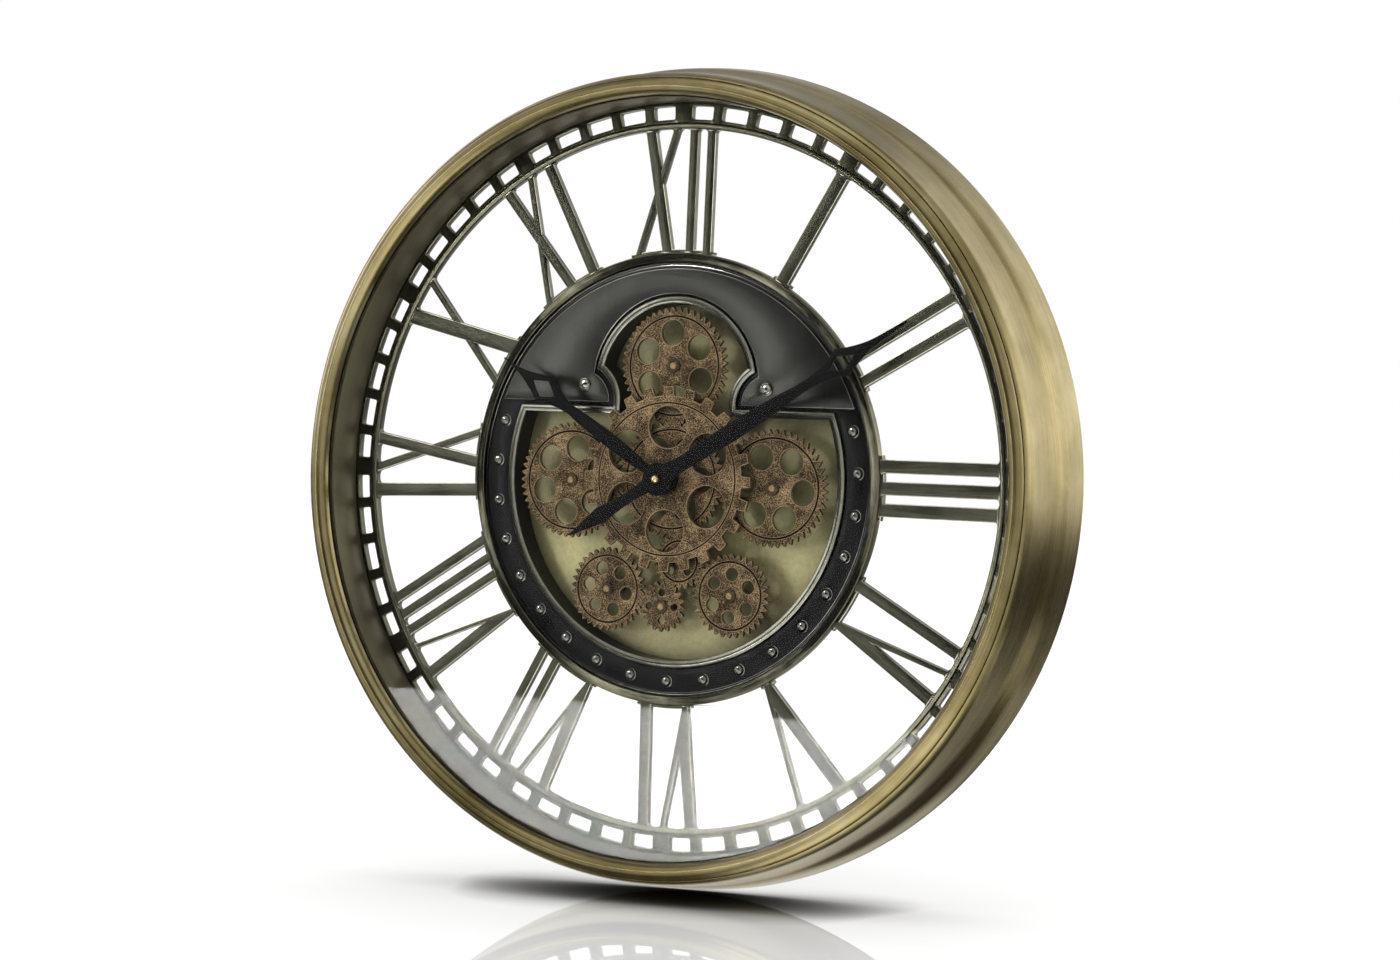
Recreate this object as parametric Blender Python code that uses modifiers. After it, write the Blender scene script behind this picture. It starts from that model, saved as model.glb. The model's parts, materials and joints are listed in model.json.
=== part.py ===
# Gear wall clock: an open drum case with a cut-out dial of minute windows
# and roman numerals, a hub that shows a turning gear train, and two hands.
# Metres. +Z is twelve o'clock, the glass faces -Y, the origin is the middle
# of the case.
# Every piece is drawn flat in its own X-Y plane with its own +Z towards
# the glass, and is then stood up. Depths are along that +Z, and depth 0 is
# the front of the minute ring.
import math

import bmesh
import bpy
from mathutils import Matrix

MM = 0.001

# Clearances and sheet
GAP = 0.3 * MM
SHEET = 2.0 * MM
STEEL = 1.5 * MM

# Dial
DIAL_RADIUS = 271.3 * MM
DIAL_THICK = 5.8 * MM
RING_WIDTH = 19.3 * MM
WINDOW_BORDER_OUT = 2.9 * MM
WINDOW_BORDER_IN = 6.9 * MM
MINUTE_BAR = 1.65
HOUR_BAR = 3.0
ROOT_BAND = 2.2 * MM
THIN_STEP = 0.25 * MM
BAND_STEP = 0.15 * MM

# Case
CASE_STEPS = 48
LIP_OVERHANG = 0.8 * MM
BEZEL_WIDTH = 11.9 * MM
BEZEL_RISE = 10.0 * MM
GLASS_BACK = 31.0 * MM
GLASS_THICK = 2.5 * MM
GASKET_THICK = 1.5 * MM
SHOULDER = 4.6 * MM
SIDE_BULGE = 8.2 * MM
BEAD_BULGE = 12.7 * MM
BAND_BULGE = 15.7 * MM
BEAD_DEPTH = 12.0 * MM
CASE_BACK = 37.0 * MM
FLANGE_WIDTH = 9.0 * MM

# Hub
HUB_RADIUS = 163.3 * MM
RIM_WIDTH = 6.3 * MM
RIM_RISE = 2.0 * MM
PLATE_TOP = -1.0 * MM
FRAME_TOP = 1.5 * MM
TOP_PLATE_RISE = 1.8 * MM
BACK_PLATE_TOP = -18.0 * MM
COVER_BACK = -35.0 * MM
RIVETS = 19
RIVET_STEP = 11.7
RIVET_RADIUS = 4.7 * MM
SCREW_HEAD_RADIUS = 4.7 * MM
SCREW_SHANK_RADIUS = 1.5 * MM

# Window of the hub, as shares of the hub's radius
U = HUB_RADIUS
WINDOW_RADIUS = 0.802 * U
WINDOW_FLAT = 0.2805 * U
ARCH_CENTRE = 0.409 * U
ARCH_RADIUS = 0.3656 * U
LOBE_X = 0.4648 * U
LOBE_Y = 0.3337 * U
LOBE_RADIUS = 0.1953 * U
FRAME_WIDTH = 0.0337 * U
TOP_PLATE_RADIUS = 0.931 * U
TOP_PLATE_FLAT = 0.3307 * U
TOP_PLATE_GAP = 0.0435 * U
LOBE_GAP = 0.0565 * U
SCREW_X = 0.450 * U
SCREW_Y = 0.4066 * U
RIVET_CIRCLE = 0.894 * U

# Gear train
MODULE = U / 96.06
LARGE_TEETH = 48
MIDDLE_TEETH = 34
IDLER_TEETH = 22
SMALL_TEETH = 20
COARSE_TEETH = 24
ADDENDUM = 0.85
TOOTH_HEIGHT = 2.3
TIP_SHARE = 0.16
GEAR_TOP = 2.5 * MM
GEAR_THICK = 4.0 * MM
COARSE_TOP = 9.5 * MM
COARSE_RADIUS = 0.409 * U
COARSE_ROOT = 0.3677 * U
ARBOR_RADIUS = 2.0 * MM
SPIGOT_RADIUS = 2.5 * MM
ARBOR_HEAD = 4.9 * MM
ARBOR_BACK = -23.0 * MM

# Hands and movement
BUSH_RADIUS = 5.0 * MM
BUSH_FRONT = 12.0 * MM
PIPE_RADIUS = 3.3 * MM
PIPE_BORE = 2.5 * MM
MINUTE_RADIUS = 2.2 * MM
TUBE_BORE = 5.3 * MM
TUBE_RADIUS = 7.5 * MM
COLLAR_RADIUS = 9.5 * MM
COLLAR_FRONT = 18.6 * MM
HAND_THICK = 1.0 * MM
HOUR_HAND_BACK = 19.5 * MM
MINUTE_HAND_BACK = 22.7 * MM
NUT_TIP = 29.5 * MM
NUT_RADIUS = 3.2 * MM
MOVEMENT_SIDE = 56.0 * MM
MOVEMENT_FRONT = -20.6 * MM
MOVEMENT_BACK = -36.6 * MM
CELL_RADIUS = 7.0 * MM
CELL_LENGTH = 49.0 * MM
MINUTE_ANGLE = 58.6
HOUR_ANGLE = 302.7

# Radii that follow from the sizes above
RING_INNER = DIAL_RADIUS - RING_WIDTH
SLEEVE_INNER = DIAL_RADIUS + GAP
SLEEVE_OUTER = SLEEVE_INNER + SHEET
LIP_RADIUS = SLEEVE_INNER + LIP_OVERHANG
BEZEL_RADIUS = LIP_RADIUS + BEZEL_WIDTH
CASE_RADIUS = BEZEL_RADIUS + BAND_BULGE
BEZEL_FRONT = GLASS_BACK + GLASS_THICK + BEZEL_RISE
MIDDLE = (BEZEL_FRONT - CASE_BACK) / 2
PLATE_RADIUS = HUB_RADIUS - RIM_WIDTH - GAP
COVER_RADIUS = 0.912 * U
COVER_STEPS = 36

# The strokes of the numerals, in millimetres, read at two radii, one just
# outside the hub and one just inside the ring: how far left (-) or right
# (+) of the hour line a stroke's middle line runs at the inner and at the
# outer radius, and how wide the stroke is.
STROKE_INNER = HUB_RADIUS + 4.8 * MM
STROKE_OUTER = RING_INNER - 5.2 * MM
BARS = {
    1: ((0.0, 0.6, 10.0),),
    2: ((-8.5, -9.2, 8.4), (10.1, 10.5, 8.2)),
    3: ((-15.1, -15.2, 9.6), (0.2, 0.1, 9.6), (15.5, 15.7, 9.6)),
    4: ((-14.7, -15.3, 8.4),),
    6: ((16.0, 15.5, 8.5),),
    7: ((10.6, 9.0, 6.7), (23.7, 22.0, 6.9)),
    8: ((7.0, 3.7, 7.0), (20.2, 16.7, 7.1), (33.5, 30.2, 7.6)),
    9: ((-14.1, -17.1, 9.9),),
    11: ((13.7, 17.2, 8.0),),
    12: ((7.8, 8.9, 6.5), (21.7, 22.9, 6.6)),
}
# A crossing pair: a thick bar and a thin bar.
CROSSES = {
    9: ((7.4, 21.4, 8.8), (27.3, 1.4, 5.8)),
    10: ((11.3, -11.6, 11.6), (-15.5, 15.5, 5.0)),
    11: ((-7.8, -21.3, 7.6), (-27.5, -1.5, 4.9)),
    12: ((-10.8, -25.5, 8.1), (-31.2, -6.7, 4.7)),
}
# A wedge of two bars that meet: the four edges at the outer radius, the
# point where the inner edges meet, as its place across and its share of the
# way from the inner to the outer radius, and the two edges at the inner
# radius.
WEDGES = {
    4: ((-0.7, 3.5, 17.9, 27.4), (13.7, 0.344), (14.2, 20.5)),
    5: ((-19.2, -9.6, 16.3, 20.2), (4.0, 0.199), (-2.3, 5.2)),
    6: ((-26.6, -18.2, -3.4, 0.8), (-12.5, 0.394), (-18.7, -12.9)),
    7: ((-32.9, -24.5, -8.9, -4.7), (-17.0, 0.356), (-23.7, -17.8)),
    8: ((-37.1, -28.3, -12.3, -8.7), (-20.7, 0.285), (-26.9, -21.3)),
}


def clear_scene():
    for obj in list(bpy.data.objects):
        bpy.data.objects.remove(obj, do_unlink=True)


clear_scene()
clock = bpy.data.collections.new("gear_wall_clock")
bpy.context.scene.collection.children.link(clock)
tools = bpy.data.collections.new("cutters")
bpy.context.scene.collection.children.link(tools)


def finish(name, colour, roughness, metallic):
    mat = bpy.data.materials.new(name)
    mat.use_nodes = True
    shader = mat.node_tree.nodes["Principled BSDF"]
    shader.inputs["Base Color"].default_value = (*colour, 1.0)
    shader.inputs["Roughness"].default_value = roughness
    shader.inputs["Metallic"].default_value = metallic
    mat.diffuse_color = (*colour, 1.0)
    return mat


BRASS = finish("antique_brass", (0.30, 0.24, 0.10), 0.32, 1.0)
DARK_SLEEVE = finish("blackened_bronze", (0.045, 0.040, 0.025), 0.35, 1.0)
GUNMETAL = finish("olive_gunmetal", (0.075, 0.075, 0.055), 0.42, 1.0)
HUB_BLACK = finish("black_gunmetal", (0.020, 0.021, 0.022), 0.40, 0.8)
RIM_OLIVE = finish("olive_brass", (0.26, 0.25, 0.15), 0.38, 1.0)
KHAKI = finish("khaki_satin", (0.30, 0.28, 0.12), 0.55, 0.4)
COPPER = finish("rubbed_copper", (0.30, 0.20, 0.12), 0.60, 0.7)
BLACK_PAINT = finish("black_paint", (0.012, 0.012, 0.012), 0.45, 0.0)
BLACK_PLASTIC = finish("black_plastic", (0.030, 0.030, 0.032), 0.55, 0.0)
RUBBER = finish("black_rubber", (0.015, 0.015, 0.015), 0.80, 0.0)
ZINC = finish("zinc_steel", (0.55, 0.55, 0.53), 0.40, 1.0)
NUT_BRASS = finish("bright_brass", (0.70, 0.52, 0.25), 0.25, 1.0)
CELL_WRAP = finish("battery_wrap", (0.18, 0.19, 0.20), 0.35, 0.1)
GLASS = finish("clear_glass", (0.95, 0.97, 0.97), 0.02, 0.0)
GLASS.node_tree.nodes["Principled BSDF"].inputs["Transmission Weight"].default_value = 1.0
GLASS.node_tree.nodes["Principled BSDF"].inputs["Alpha"].default_value = 0.25


def stand(obj, at=(0.0, 0.0), turn=0.0):
    # Turn is in degrees, clockwise as seen from the front.
    spin = Matrix.Rotation(math.radians(-turn), 4, "Z")
    upright = Matrix.Rotation(math.pi / 2, 4, "X") @ spin
    obj.rotation_euler = upright.to_euler()
    obj.location = (at[0], MIDDLE, at[1])
    return obj


def link(obj, mat, as_tool=False):
    if as_tool:
        tools.objects.link(obj)
        obj.hide_render = True
        obj.display_type = "WIRE"
    else:
        clock.objects.link(obj)
        obj.data.materials.append(mat)
    return obj


def weld(mesh):
    bm = bmesh.new()
    bm.from_mesh(mesh)
    bmesh.ops.remove_doubles(bm, verts=bm.verts, dist=1e-6)
    bmesh.ops.recalc_face_normals(bm, faces=bm.faces)
    bm.to_mesh(mesh)
    bm.free()


def solid_from(obj, name, mat, as_tool):
    # The evaluated shape of a curve as a welded mesh object.
    bpy.context.view_layer.update()
    graph = bpy.context.evaluated_depsgraph_get()
    mesh = bpy.data.meshes.new_from_object(obj.evaluated_get(graph))
    mesh.name = name
    mesh.transform(obj.matrix_world)
    mesh.materials.clear()
    weld(mesh)
    bpy.data.objects.remove(obj, do_unlink=True)
    return link(bpy.data.objects.new(name, mesh), mat, as_tool)


def plate(name, loops, back, front, mat=None, as_tool=False):
    # A flat piece: closed outlines filled and given a thickness.
    curve = bpy.data.curves.new(name + "_outline", "CURVE")
    curve.dimensions = "2D"
    curve.fill_mode = "BOTH"
    curve.extrude = (front - back) / 2
    for loop in loops:
        spline = curve.splines.new("POLY")
        spline.points.add(len(loop) - 1)
        for point, (x, y) in zip(spline.points, loop):
            point.co = (x, y, 0.0, 1.0)
        spline.use_cyclic_u = True
    draft = bpy.data.objects.new(name + "_outline", curve)
    draft.location.z = (front + back) / 2
    tools.objects.link(draft)
    return solid_from(draft, name, mat, as_tool)


def turned(name, profile, mat=None, steps=16, as_tool=False):
    # A closed profile of (radius, depth) points turned about the axis.
    # Its outer side is listed from the front to the back.
    mesh = bpy.data.meshes.new(name)
    count = len(profile)
    points = [(r, 0.0, z) for r, z in profile]
    on_axis = profile[0][0] == 0.0 and profile[-1][0] == 0.0
    last = count - 1 if on_axis else count
    edges = [(i, (i + 1) % count) for i in range(last)]
    mesh.from_pydata(points, edges, [])
    obj = link(bpy.data.objects.new(name, mesh), mat, as_tool)
    screw = obj.modifiers.new("turn", "SCREW")
    screw.axis = "Z"
    screw.steps = steps
    screw.render_steps = steps
    screw.use_merge_vertices = True
    screw.merge_threshold = 1e-6
    screw.use_smooth_shade = False
    return obj


def block(name, size, centre, depth, mat=None, as_tool=False):
    # A box: its width and height, its middle, and its two depths.
    bpy.ops.mesh.primitive_cube_add(size=1.0)
    obj = bpy.context.active_object
    obj.name = name
    obj.data.name = name
    back, front = depth
    scale = Matrix.Diagonal((size[0], size[1], front - back, 1.0))
    shift = Matrix.Translation((centre[0], centre[1], (front + back) / 2))
    obj.data.transform(shift @ scale)
    for holder in list(obj.users_collection):
        holder.objects.unlink(obj)
    return link(obj, mat, as_tool)


def rod(name, radius, back, front, at=(0.0, 0.0), steps=12, mat=None, as_tool=True):
    bpy.ops.mesh.primitive_cylinder_add(vertices=steps, radius=radius, depth=front - back)
    obj = bpy.context.active_object
    obj.name = name
    obj.data.name = name
    obj.data.transform(Matrix.Translation((at[0], at[1], (front + back) / 2)))
    for holder in list(obj.users_collection):
        holder.objects.unlink(obj)
    return link(obj, mat, as_tool)


def combine(obj, other, how):
    # Cut the other shape away from the piece, or join it to the piece.
    mod = obj.modifiers.new(how.lower() + "_" + other.name, "BOOLEAN")
    mod.operation = how
    mod.solver = "EXACT"
    mod.object = other
    return obj


def smooth_round(obj, angle=32.0):
    for poly in obj.data.polygons:
        poly.use_smooth = True
    if obj.data.polygons:
        obj.data.set_sharp_from_angle(angle=math.radians(angle))
    for mod in obj.modifiers:
        if mod.type == "SCREW":
            mod.use_smooth_shade = True
    return obj


def circle(radius, count, centre=(0.0, 0.0)):
    points = []
    for i in range(count):
        a = 2 * math.pi * i / count
        points.append((centre[0] + radius * math.sin(a), centre[1] + radius * math.cos(a)))
    return points


def arc(centre, radius, start, end, count):
    # Points along an arc; angles in degrees, anticlockwise from +X.
    points = []
    for i in range(count + 1):
        a = math.radians(start + (end - start) * i / count)
        points.append((centre[0] + radius * math.cos(a), centre[1] + radius * math.sin(a)))
    return points


# Case
FACE = BEZEL_FRONT - GLASS_BACK


def bezel_point(across, up):
    # Across the bezel from its lip, and up from the plane behind the glass.
    return (LIP_RADIUS + across * BEZEL_WIDTH, GLASS_BACK + up * FACE)


REBATE = LIP_RADIUS + 0.42 * BEZEL_WIDTH
REBATE_TOP = GLASS_BACK + GLASS_THICK + GASKET_THICK
bezel = turned("front_bezel", [
    bezel_point(0.05, 0.68),
    bezel_point(0.26, 0.94),
    bezel_point(0.50, 1.0),
    bezel_point(0.76, 0.92),
    (BEZEL_RADIUS, GLASS_BACK + 0.64 * FACE),
    (BEZEL_RADIUS, GLASS_BACK),
    (REBATE, GLASS_BACK),
    (REBATE, REBATE_TOP),
    (LIP_RADIUS, REBATE_TOP),
], BRASS, CASE_STEPS)
stand(smooth_round(bezel))

GLASS_RADIUS = REBATE - GAP
gasket = turned("glass_gasket", [
    (GLASS_RADIUS, REBATE_TOP - GAP),
    (GLASS_RADIUS, GLASS_BACK + GLASS_THICK + GAP),
    (SLEEVE_INNER, GLASS_BACK + GLASS_THICK + GAP),
    (SLEEVE_INNER, REBATE_TOP - GAP),
], RUBBER, CASE_STEPS)
stand(smooth_round(gasket))

glass = turned("glass_pane", [
    (0.0, GLASS_BACK + GLASS_THICK),
    (GLASS_RADIUS, GLASS_BACK + GLASS_THICK),
    (GLASS_RADIUS, GLASS_BACK),
    (0.0, GLASS_BACK),
], GLASS, CASE_STEPS)
stand(smooth_round(glass))

SEAT = GLASS_BACK - GAP
sleeve = turned("inner_sleeve", [
    (BEZEL_RADIUS - GAP, SEAT),
    (BEZEL_RADIUS - GAP, SEAT - STEEL),
    (SLEEVE_OUTER, SEAT - STEEL),
    (SLEEVE_OUTER, -DIAL_THICK),
    (SLEEVE_INNER, -DIAL_THICK),
    (SLEEVE_INNER, SEAT),
], DARK_SLEEVE, CASE_STEPS)
stand(smooth_round(sleeve))


def case_point(bulge, depth, inset=0.0):
    return (BEZEL_RADIUS + GAP + bulge - inset, depth)


RIM_FRONT = GLASS_BACK + 0.75 * FACE
case = turned("case_shell", [
    case_point(0.0, RIM_FRONT),
    case_point(0.62 * SHOULDER, RIM_FRONT - 0.43 * (RIM_FRONT - SEAT)),
    case_point(SHOULDER, SEAT),
    case_point(SIDE_BULGE, 0.0),
    case_point(0.90 * BEAD_BULGE, -0.25 * BEAD_DEPTH),
    case_point(BEAD_BULGE, -BEAD_DEPTH),
    case_point(BAND_BULGE - GAP, 1.5 * MM - CASE_BACK),
    case_point(BAND_BULGE - STEEL, -CASE_BACK),
    case_point(BAND_BULGE - STEEL - FLANGE_WIDTH, -CASE_BACK),
    case_point(BAND_BULGE - STEEL - FLANGE_WIDTH, STEEL - CASE_BACK),
    case_point(BAND_BULGE, STEEL - CASE_BACK, SHEET),
    case_point(BEAD_BULGE, -BEAD_DEPTH, SHEET),
    case_point(SIDE_BULGE, 0.0, SHEET),
    case_point(0.0, SEAT - SHEET),
], BRASS, CASE_STEPS)
stand(smooth_round(case))

# Dial
WINDOW_OUT = DIAL_RADIUS - WINDOW_BORDER_OUT
WINDOW_IN = RING_INNER + WINDOW_BORDER_IN


def polar(radius, clock_angle):
    a = math.radians(clock_angle)
    return (radius * math.sin(a), radius * math.cos(a))


# The facets of the inner edge keep outside the ends of the strokes.
FACET_REACH = 1 / math.cos(math.pi / CASE_STEPS)
ring_loops = [circle(DIAL_RADIUS, CASE_STEPS), circle(RING_INNER * FACET_REACH, CASE_STEPS)]
for minute in range(60):
    before = HOUR_BAR if minute % 5 == 0 else MINUTE_BAR
    after = HOUR_BAR if minute % 5 == 4 else MINUTE_BAR
    near = 6.0 * minute + before / 2
    far = 6.0 * minute + 6.0 - after / 2
    corners = ((WINDOW_IN, near), (WINDOW_OUT, near), (WINDOW_OUT, far), (WINDOW_IN, far))
    ring_loops.append([polar(radius, angle) for radius, angle in corners])
stand(plate("minute_ring", ring_loops, -DIAL_THICK, 0.0, GUNMETAL))

ROOT_INNER = HUB_RADIUS + GAP
ROOT_OUTER = ROOT_INNER + ROOT_BAND
STROKE_END = RING_INNER - GAP
# Strokes start inside the root band, clear of its inner face.
STROKE_START = ROOT_INNER + 0.3 * ROOT_BAND


def along(inner_x, outer_x, radius):
    # The point of a stroke's edge at a radius.
    slope = (outer_x - inner_x) / (STROKE_OUTER - STROKE_INNER)
    y = radius
    for _ in range(4):
        x = inner_x + slope * (y - STROKE_INNER)
        y = math.sqrt(radius * radius - x * x)
    return (inner_x + slope * (y - STROKE_INNER), y)


def bar_loop(inner_x, outer_x, width):
    lean = math.atan2(outer_x - inner_x, STROKE_OUTER - STROKE_INNER)
    half = width / 2 / math.cos(lean)
    return [
        along(inner_x - half, outer_x - half, STROKE_START),
        along(inner_x - half, outer_x - half, STROKE_END),
        along(inner_x + half, outer_x + half, STROKE_END),
        along(inner_x + half, outer_x + half, STROKE_START),
    ]


def wedge_loop(outer, notch, inner):
    return [
        along(inner[0], outer[0], STROKE_START),
        along(inner[0], outer[0], STROKE_END),
        end_on_line(notch, outer[1]),
        notch,
        end_on_line(notch, outer[2]),
        along(inner[1], outer[3], STROKE_END),
        along(inner[1], outer[3], STROKE_START),
    ]


def end_on_line(notch, outer_x):
    # Where the line from the notch through the outer radius meets the ring.
    slope = (outer_x - notch[0]) / (STROKE_OUTER - notch[1])
    y = STROKE_END
    for _ in range(4):
        x = notch[0] + slope * (y - notch[1])
        y = math.sqrt(STROKE_END * STROKE_END - x * x)
    return (notch[0] + slope * (y - notch[1]), y)


def scaled(values):
    return tuple(v * MM for v in values)


for hour in range(1, 13):
    thick_loops = [bar_loop(*scaled(bar)) for bar in BARS.get(hour, ())]
    thin_loops = []
    if hour in CROSSES:
        heavy, light = CROSSES[hour]
        thick_loops.append(bar_loop(*scaled(heavy)))
        thin_loops.append(bar_loop(*scaled(light)))
    if hour in WEDGES:
        outer, (notch_x, share), inner = WEDGES[hour]
        notch = (notch_x * MM, STROKE_INNER + share * (STROKE_OUTER - STROKE_INNER))
        thick_loops.append(wedge_loop(scaled(outer), notch, scaled(inner)))
    feet = [point for loop in thick_loops + thin_loops for point in (loop[0], loop[-1])]
    angles = [math.degrees(math.atan2(y, x)) for x, y in feet]
    first, last = min(angles) - 0.7, max(angles) + 0.7
    pieces = max(2, round((last - first) / 4))
    band = arc((0.0, 0.0), ROOT_INNER, first, last, pieces)
    band += arc((0.0, 0.0), ROOT_OUTER, last, first, pieces)
    numeral = plate("numeral_%d" % hour, [band], BAND_STEP - DIAL_THICK, -BAND_STEP, GUNMETAL)
    for index, loop in enumerate(thick_loops):
        stroke = plate("stroke_%d_%d" % (hour, index), [loop], -DIAL_THICK, 0.0, as_tool=True)
        stand(combine(numeral, stroke, "UNION").modifiers[-1].object, turn=30.0 * hour)
    for index, loop in enumerate(thin_loops):
        back, front = THIN_STEP - DIAL_THICK, -THIN_STEP
        stroke = plate("thin_stroke_%d_%d" % (hour, index), [loop], back, front, as_tool=True)
        stand(combine(numeral, stroke, "UNION").modifiers[-1].object, turn=30.0 * hour)
    stand(numeral, turn=30.0 * hour)

# Hub rim and plates
RIM_INNER = HUB_RADIUS - RIM_WIDTH
LEDGE = 6.0 * MM
PLATE_BACK = PLATE_TOP - SHEET
rim = turned("hub_rim", [
    (RIM_INNER, RIM_RISE),
    (HUB_RADIUS - 1.0 * MM, RIM_RISE),
    (HUB_RADIUS, RIM_RISE - 1.0 * MM),
    (HUB_RADIUS, -DIAL_THICK),
    (RIM_INNER - LEDGE, -DIAL_THICK),
    (RIM_INNER - LEDGE, PLATE_BACK - GAP),
    (RIM_INNER, PLATE_BACK - GAP),
], RIM_OLIVE, CASE_STEPS)
stand(smooth_round(rim))


def crossing(c1, r1, c2, r2):
    # The upper point where two circles cross.
    dx, dy = c2[0] - c1[0], c2[1] - c1[1]
    d = math.hypot(dx, dy)
    a = (r1 * r1 - r2 * r2 + d * d) / (2 * d)
    h = math.sqrt(max(r1 * r1 - a * a, 0.0))
    ux, uy = dx / d, dy / d
    return (c1[0] + a * ux - h * uy, c1[1] + a * uy + h * ux)


def angle_of(centre, point):
    return math.degrees(math.atan2(point[1] - centre[1], point[0] - centre[0]))


def mirrored(half):
    # A closed outline from its right half, listed from top to bottom.
    return half + [(-x, y) for x, y in reversed(half[1:-1])]


def window_outline(out):
    # The hub's window, made wider all round by the given amount.
    arch = (0.0, ARCH_CENTRE)
    lobe = (LOBE_X, LOBE_Y)
    arch_r, lobe_r, bowl_r = ARCH_RADIUS + out, LOBE_RADIUS - out, WINDOW_RADIUS + out
    flat = WINDOW_FLAT + out
    cusp = crossing(arch, arch_r, lobe, lobe_r)
    half = arc(arch, arch_r, 90.0, angle_of(arch, cusp), 8)
    foot = (LOBE_X - math.sqrt(lobe_r * lobe_r - (LOBE_Y - flat) ** 2), flat)
    half += arc(lobe, lobe_r, angle_of(lobe, cusp), 360.0 + angle_of(lobe, foot), 4)[1:]
    corner = (math.sqrt(bowl_r * bowl_r - flat * flat), flat)
    half += arc((0.0, 0.0), bowl_r, angle_of((0.0, 0.0), corner), -90.0, 13)
    return mirrored(half)


frame_band = plate("window_frame", [window_outline(FRAME_WIDTH), window_outline(0.0)],
                   PLATE_TOP + GAP, FRAME_TOP, HUB_BLACK)
WALL_INSET = 0.2 * MM
frame_wall = plate("window_wall", [window_outline(SHEET), window_outline(WALL_INSET)],
                   BACK_PLATE_TOP + GAP, 0.0, as_tool=True)
stand(combine(frame_band, frame_wall, "UNION"))
stand(frame_wall)

hub_loops = [circle(PLATE_RADIUS, CASE_STEPS), window_outline(SHEET + GAP)]
for side in (-1, 1):
    hub_loops.append(circle(SCREW_SHANK_RADIUS + GAP, 8, (side * SCREW_X, SCREW_Y)))
hub_plate = plate("hub_plate", hub_loops, PLATE_BACK, PLATE_TOP, HUB_BLACK)
rivets = []
for i in range(RIVETS):
    angle = 180.0 + (i - (RIVETS - 1) / 2) * RIVET_STEP
    x, y = polar(RIVET_CIRCLE, angle)
    bpy.ops.mesh.primitive_uv_sphere_add(segments=6, ring_count=4, radius=RIVET_RADIUS)
    bpy.context.active_object.location = (x, y, 0.0)
    rivets.append(bpy.context.active_object)
for dome in rivets:
    dome.select_set(True)
bpy.context.view_layer.objects.active = rivets[0]
bpy.ops.object.join()
domes = bpy.context.active_object
domes.name = "rivet_domes"
bpy.ops.object.transform_apply(location=True, rotation=True, scale=True)
flatten = Matrix.Diagonal((1.0, 1.0, 0.8, 1.0))
domes.data.transform(Matrix.Translation((0.0, 0.0, PLATE_TOP - 0.2 * RIVET_RADIUS)) @ flatten)
for holder in list(domes.users_collection):
    holder.objects.unlink(domes)
link(domes, None, as_tool=True)
stand(combine(hub_plate, domes, "UNION"))
stand(domes)


def top_plate_outline():
    arch = (0.0, ARCH_CENTRE)
    lobe = (LOBE_X, LOBE_Y)
    arch_r, lobe_r = ARCH_RADIUS + TOP_PLATE_GAP, LOBE_RADIUS - LOBE_GAP
    cusp = crossing(arch, arch_r, lobe, lobe_r)
    corner = (math.sqrt(TOP_PLATE_RADIUS ** 2 - TOP_PLATE_FLAT ** 2), TOP_PLATE_FLAT)
    half = arc((0.0, 0.0), TOP_PLATE_RADIUS, 90.0, angle_of((0.0, 0.0), corner), 12)
    half.append((LOBE_X - lobe_r, TOP_PLATE_FLAT))
    half += arc(lobe, lobe_r, 180.0, angle_of(lobe, cusp), 4)
    half += arc(arch, arch_r, angle_of(arch, cusp), 90.0, 8)[1:]
    return mirrored(half)


TOP_PLATE_FRONT = PLATE_TOP + TOP_PLATE_RISE
top_loops = [top_plate_outline()]
for side in (-1, 1):
    top_loops.append(circle(SCREW_SHANK_RADIUS + GAP, 8, (side * SCREW_X, SCREW_Y)))
stand(plate("top_plate", top_loops, PLATE_TOP + GAP, TOP_PLATE_FRONT, HUB_BLACK))

HEAD_BACK = TOP_PLATE_FRONT + GAP
HEAD_RISE = 0.6 * SCREW_HEAD_RADIUS
SLOT_WIDTH = 1.0 * MM
SLOT_DEPTH = 1.0 * MM
for side, label in ((-1, "left"), (1, "right")):
    screw_at = (side * SCREW_X, SCREW_Y)
    screw = turned("top_plate_screw_" + label, [
        (0.0, HEAD_BACK + HEAD_RISE),
        (0.55 * SCREW_HEAD_RADIUS, HEAD_BACK + 0.8 * HEAD_RISE),
        (SCREW_HEAD_RADIUS, HEAD_BACK + 0.15 * HEAD_RISE),
        (SCREW_HEAD_RADIUS, HEAD_BACK),
        (SCREW_SHANK_RADIUS, HEAD_BACK),
        (SCREW_SHANK_RADIUS, PLATE_BACK - SHEET),
        (0.0, PLATE_BACK - SHEET),
    ], ZINC, 12)
    slot = block("slot_" + label, (3 * SCREW_HEAD_RADIUS, SLOT_WIDTH), (0.0, 0.0),
                 (HEAD_BACK + HEAD_RISE - SLOT_DEPTH, HEAD_BACK + 2 * HEAD_RISE), as_tool=True)
    stand(combine(smooth_round(screw), slot, "DIFFERENCE"), screw_at)
    stand(slot, screw_at, 20.0 * side)

# Places of the gears: each is set against the one that drives it


def next_to(start, teeth_a, teeth_b, direction):
    # The centre of a gear in mesh with another, in a clockwise direction.
    x, y = polar(MODULE * (teeth_a + teeth_b) / 2, direction)
    return (start[0] + x, start[1] + y)


def meshed_turn(turn_a, teeth_a, teeth_b, direction):
    # The turn that puts a tooth space where the other gear has a tooth.
    step_a, step_b = 360.0 / teeth_a, 360.0 / teeth_b
    share = (direction - turn_a) / step_a % 1.0
    return direction + 180.0 - (0.5 - share) % 1.0 * step_b


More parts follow.
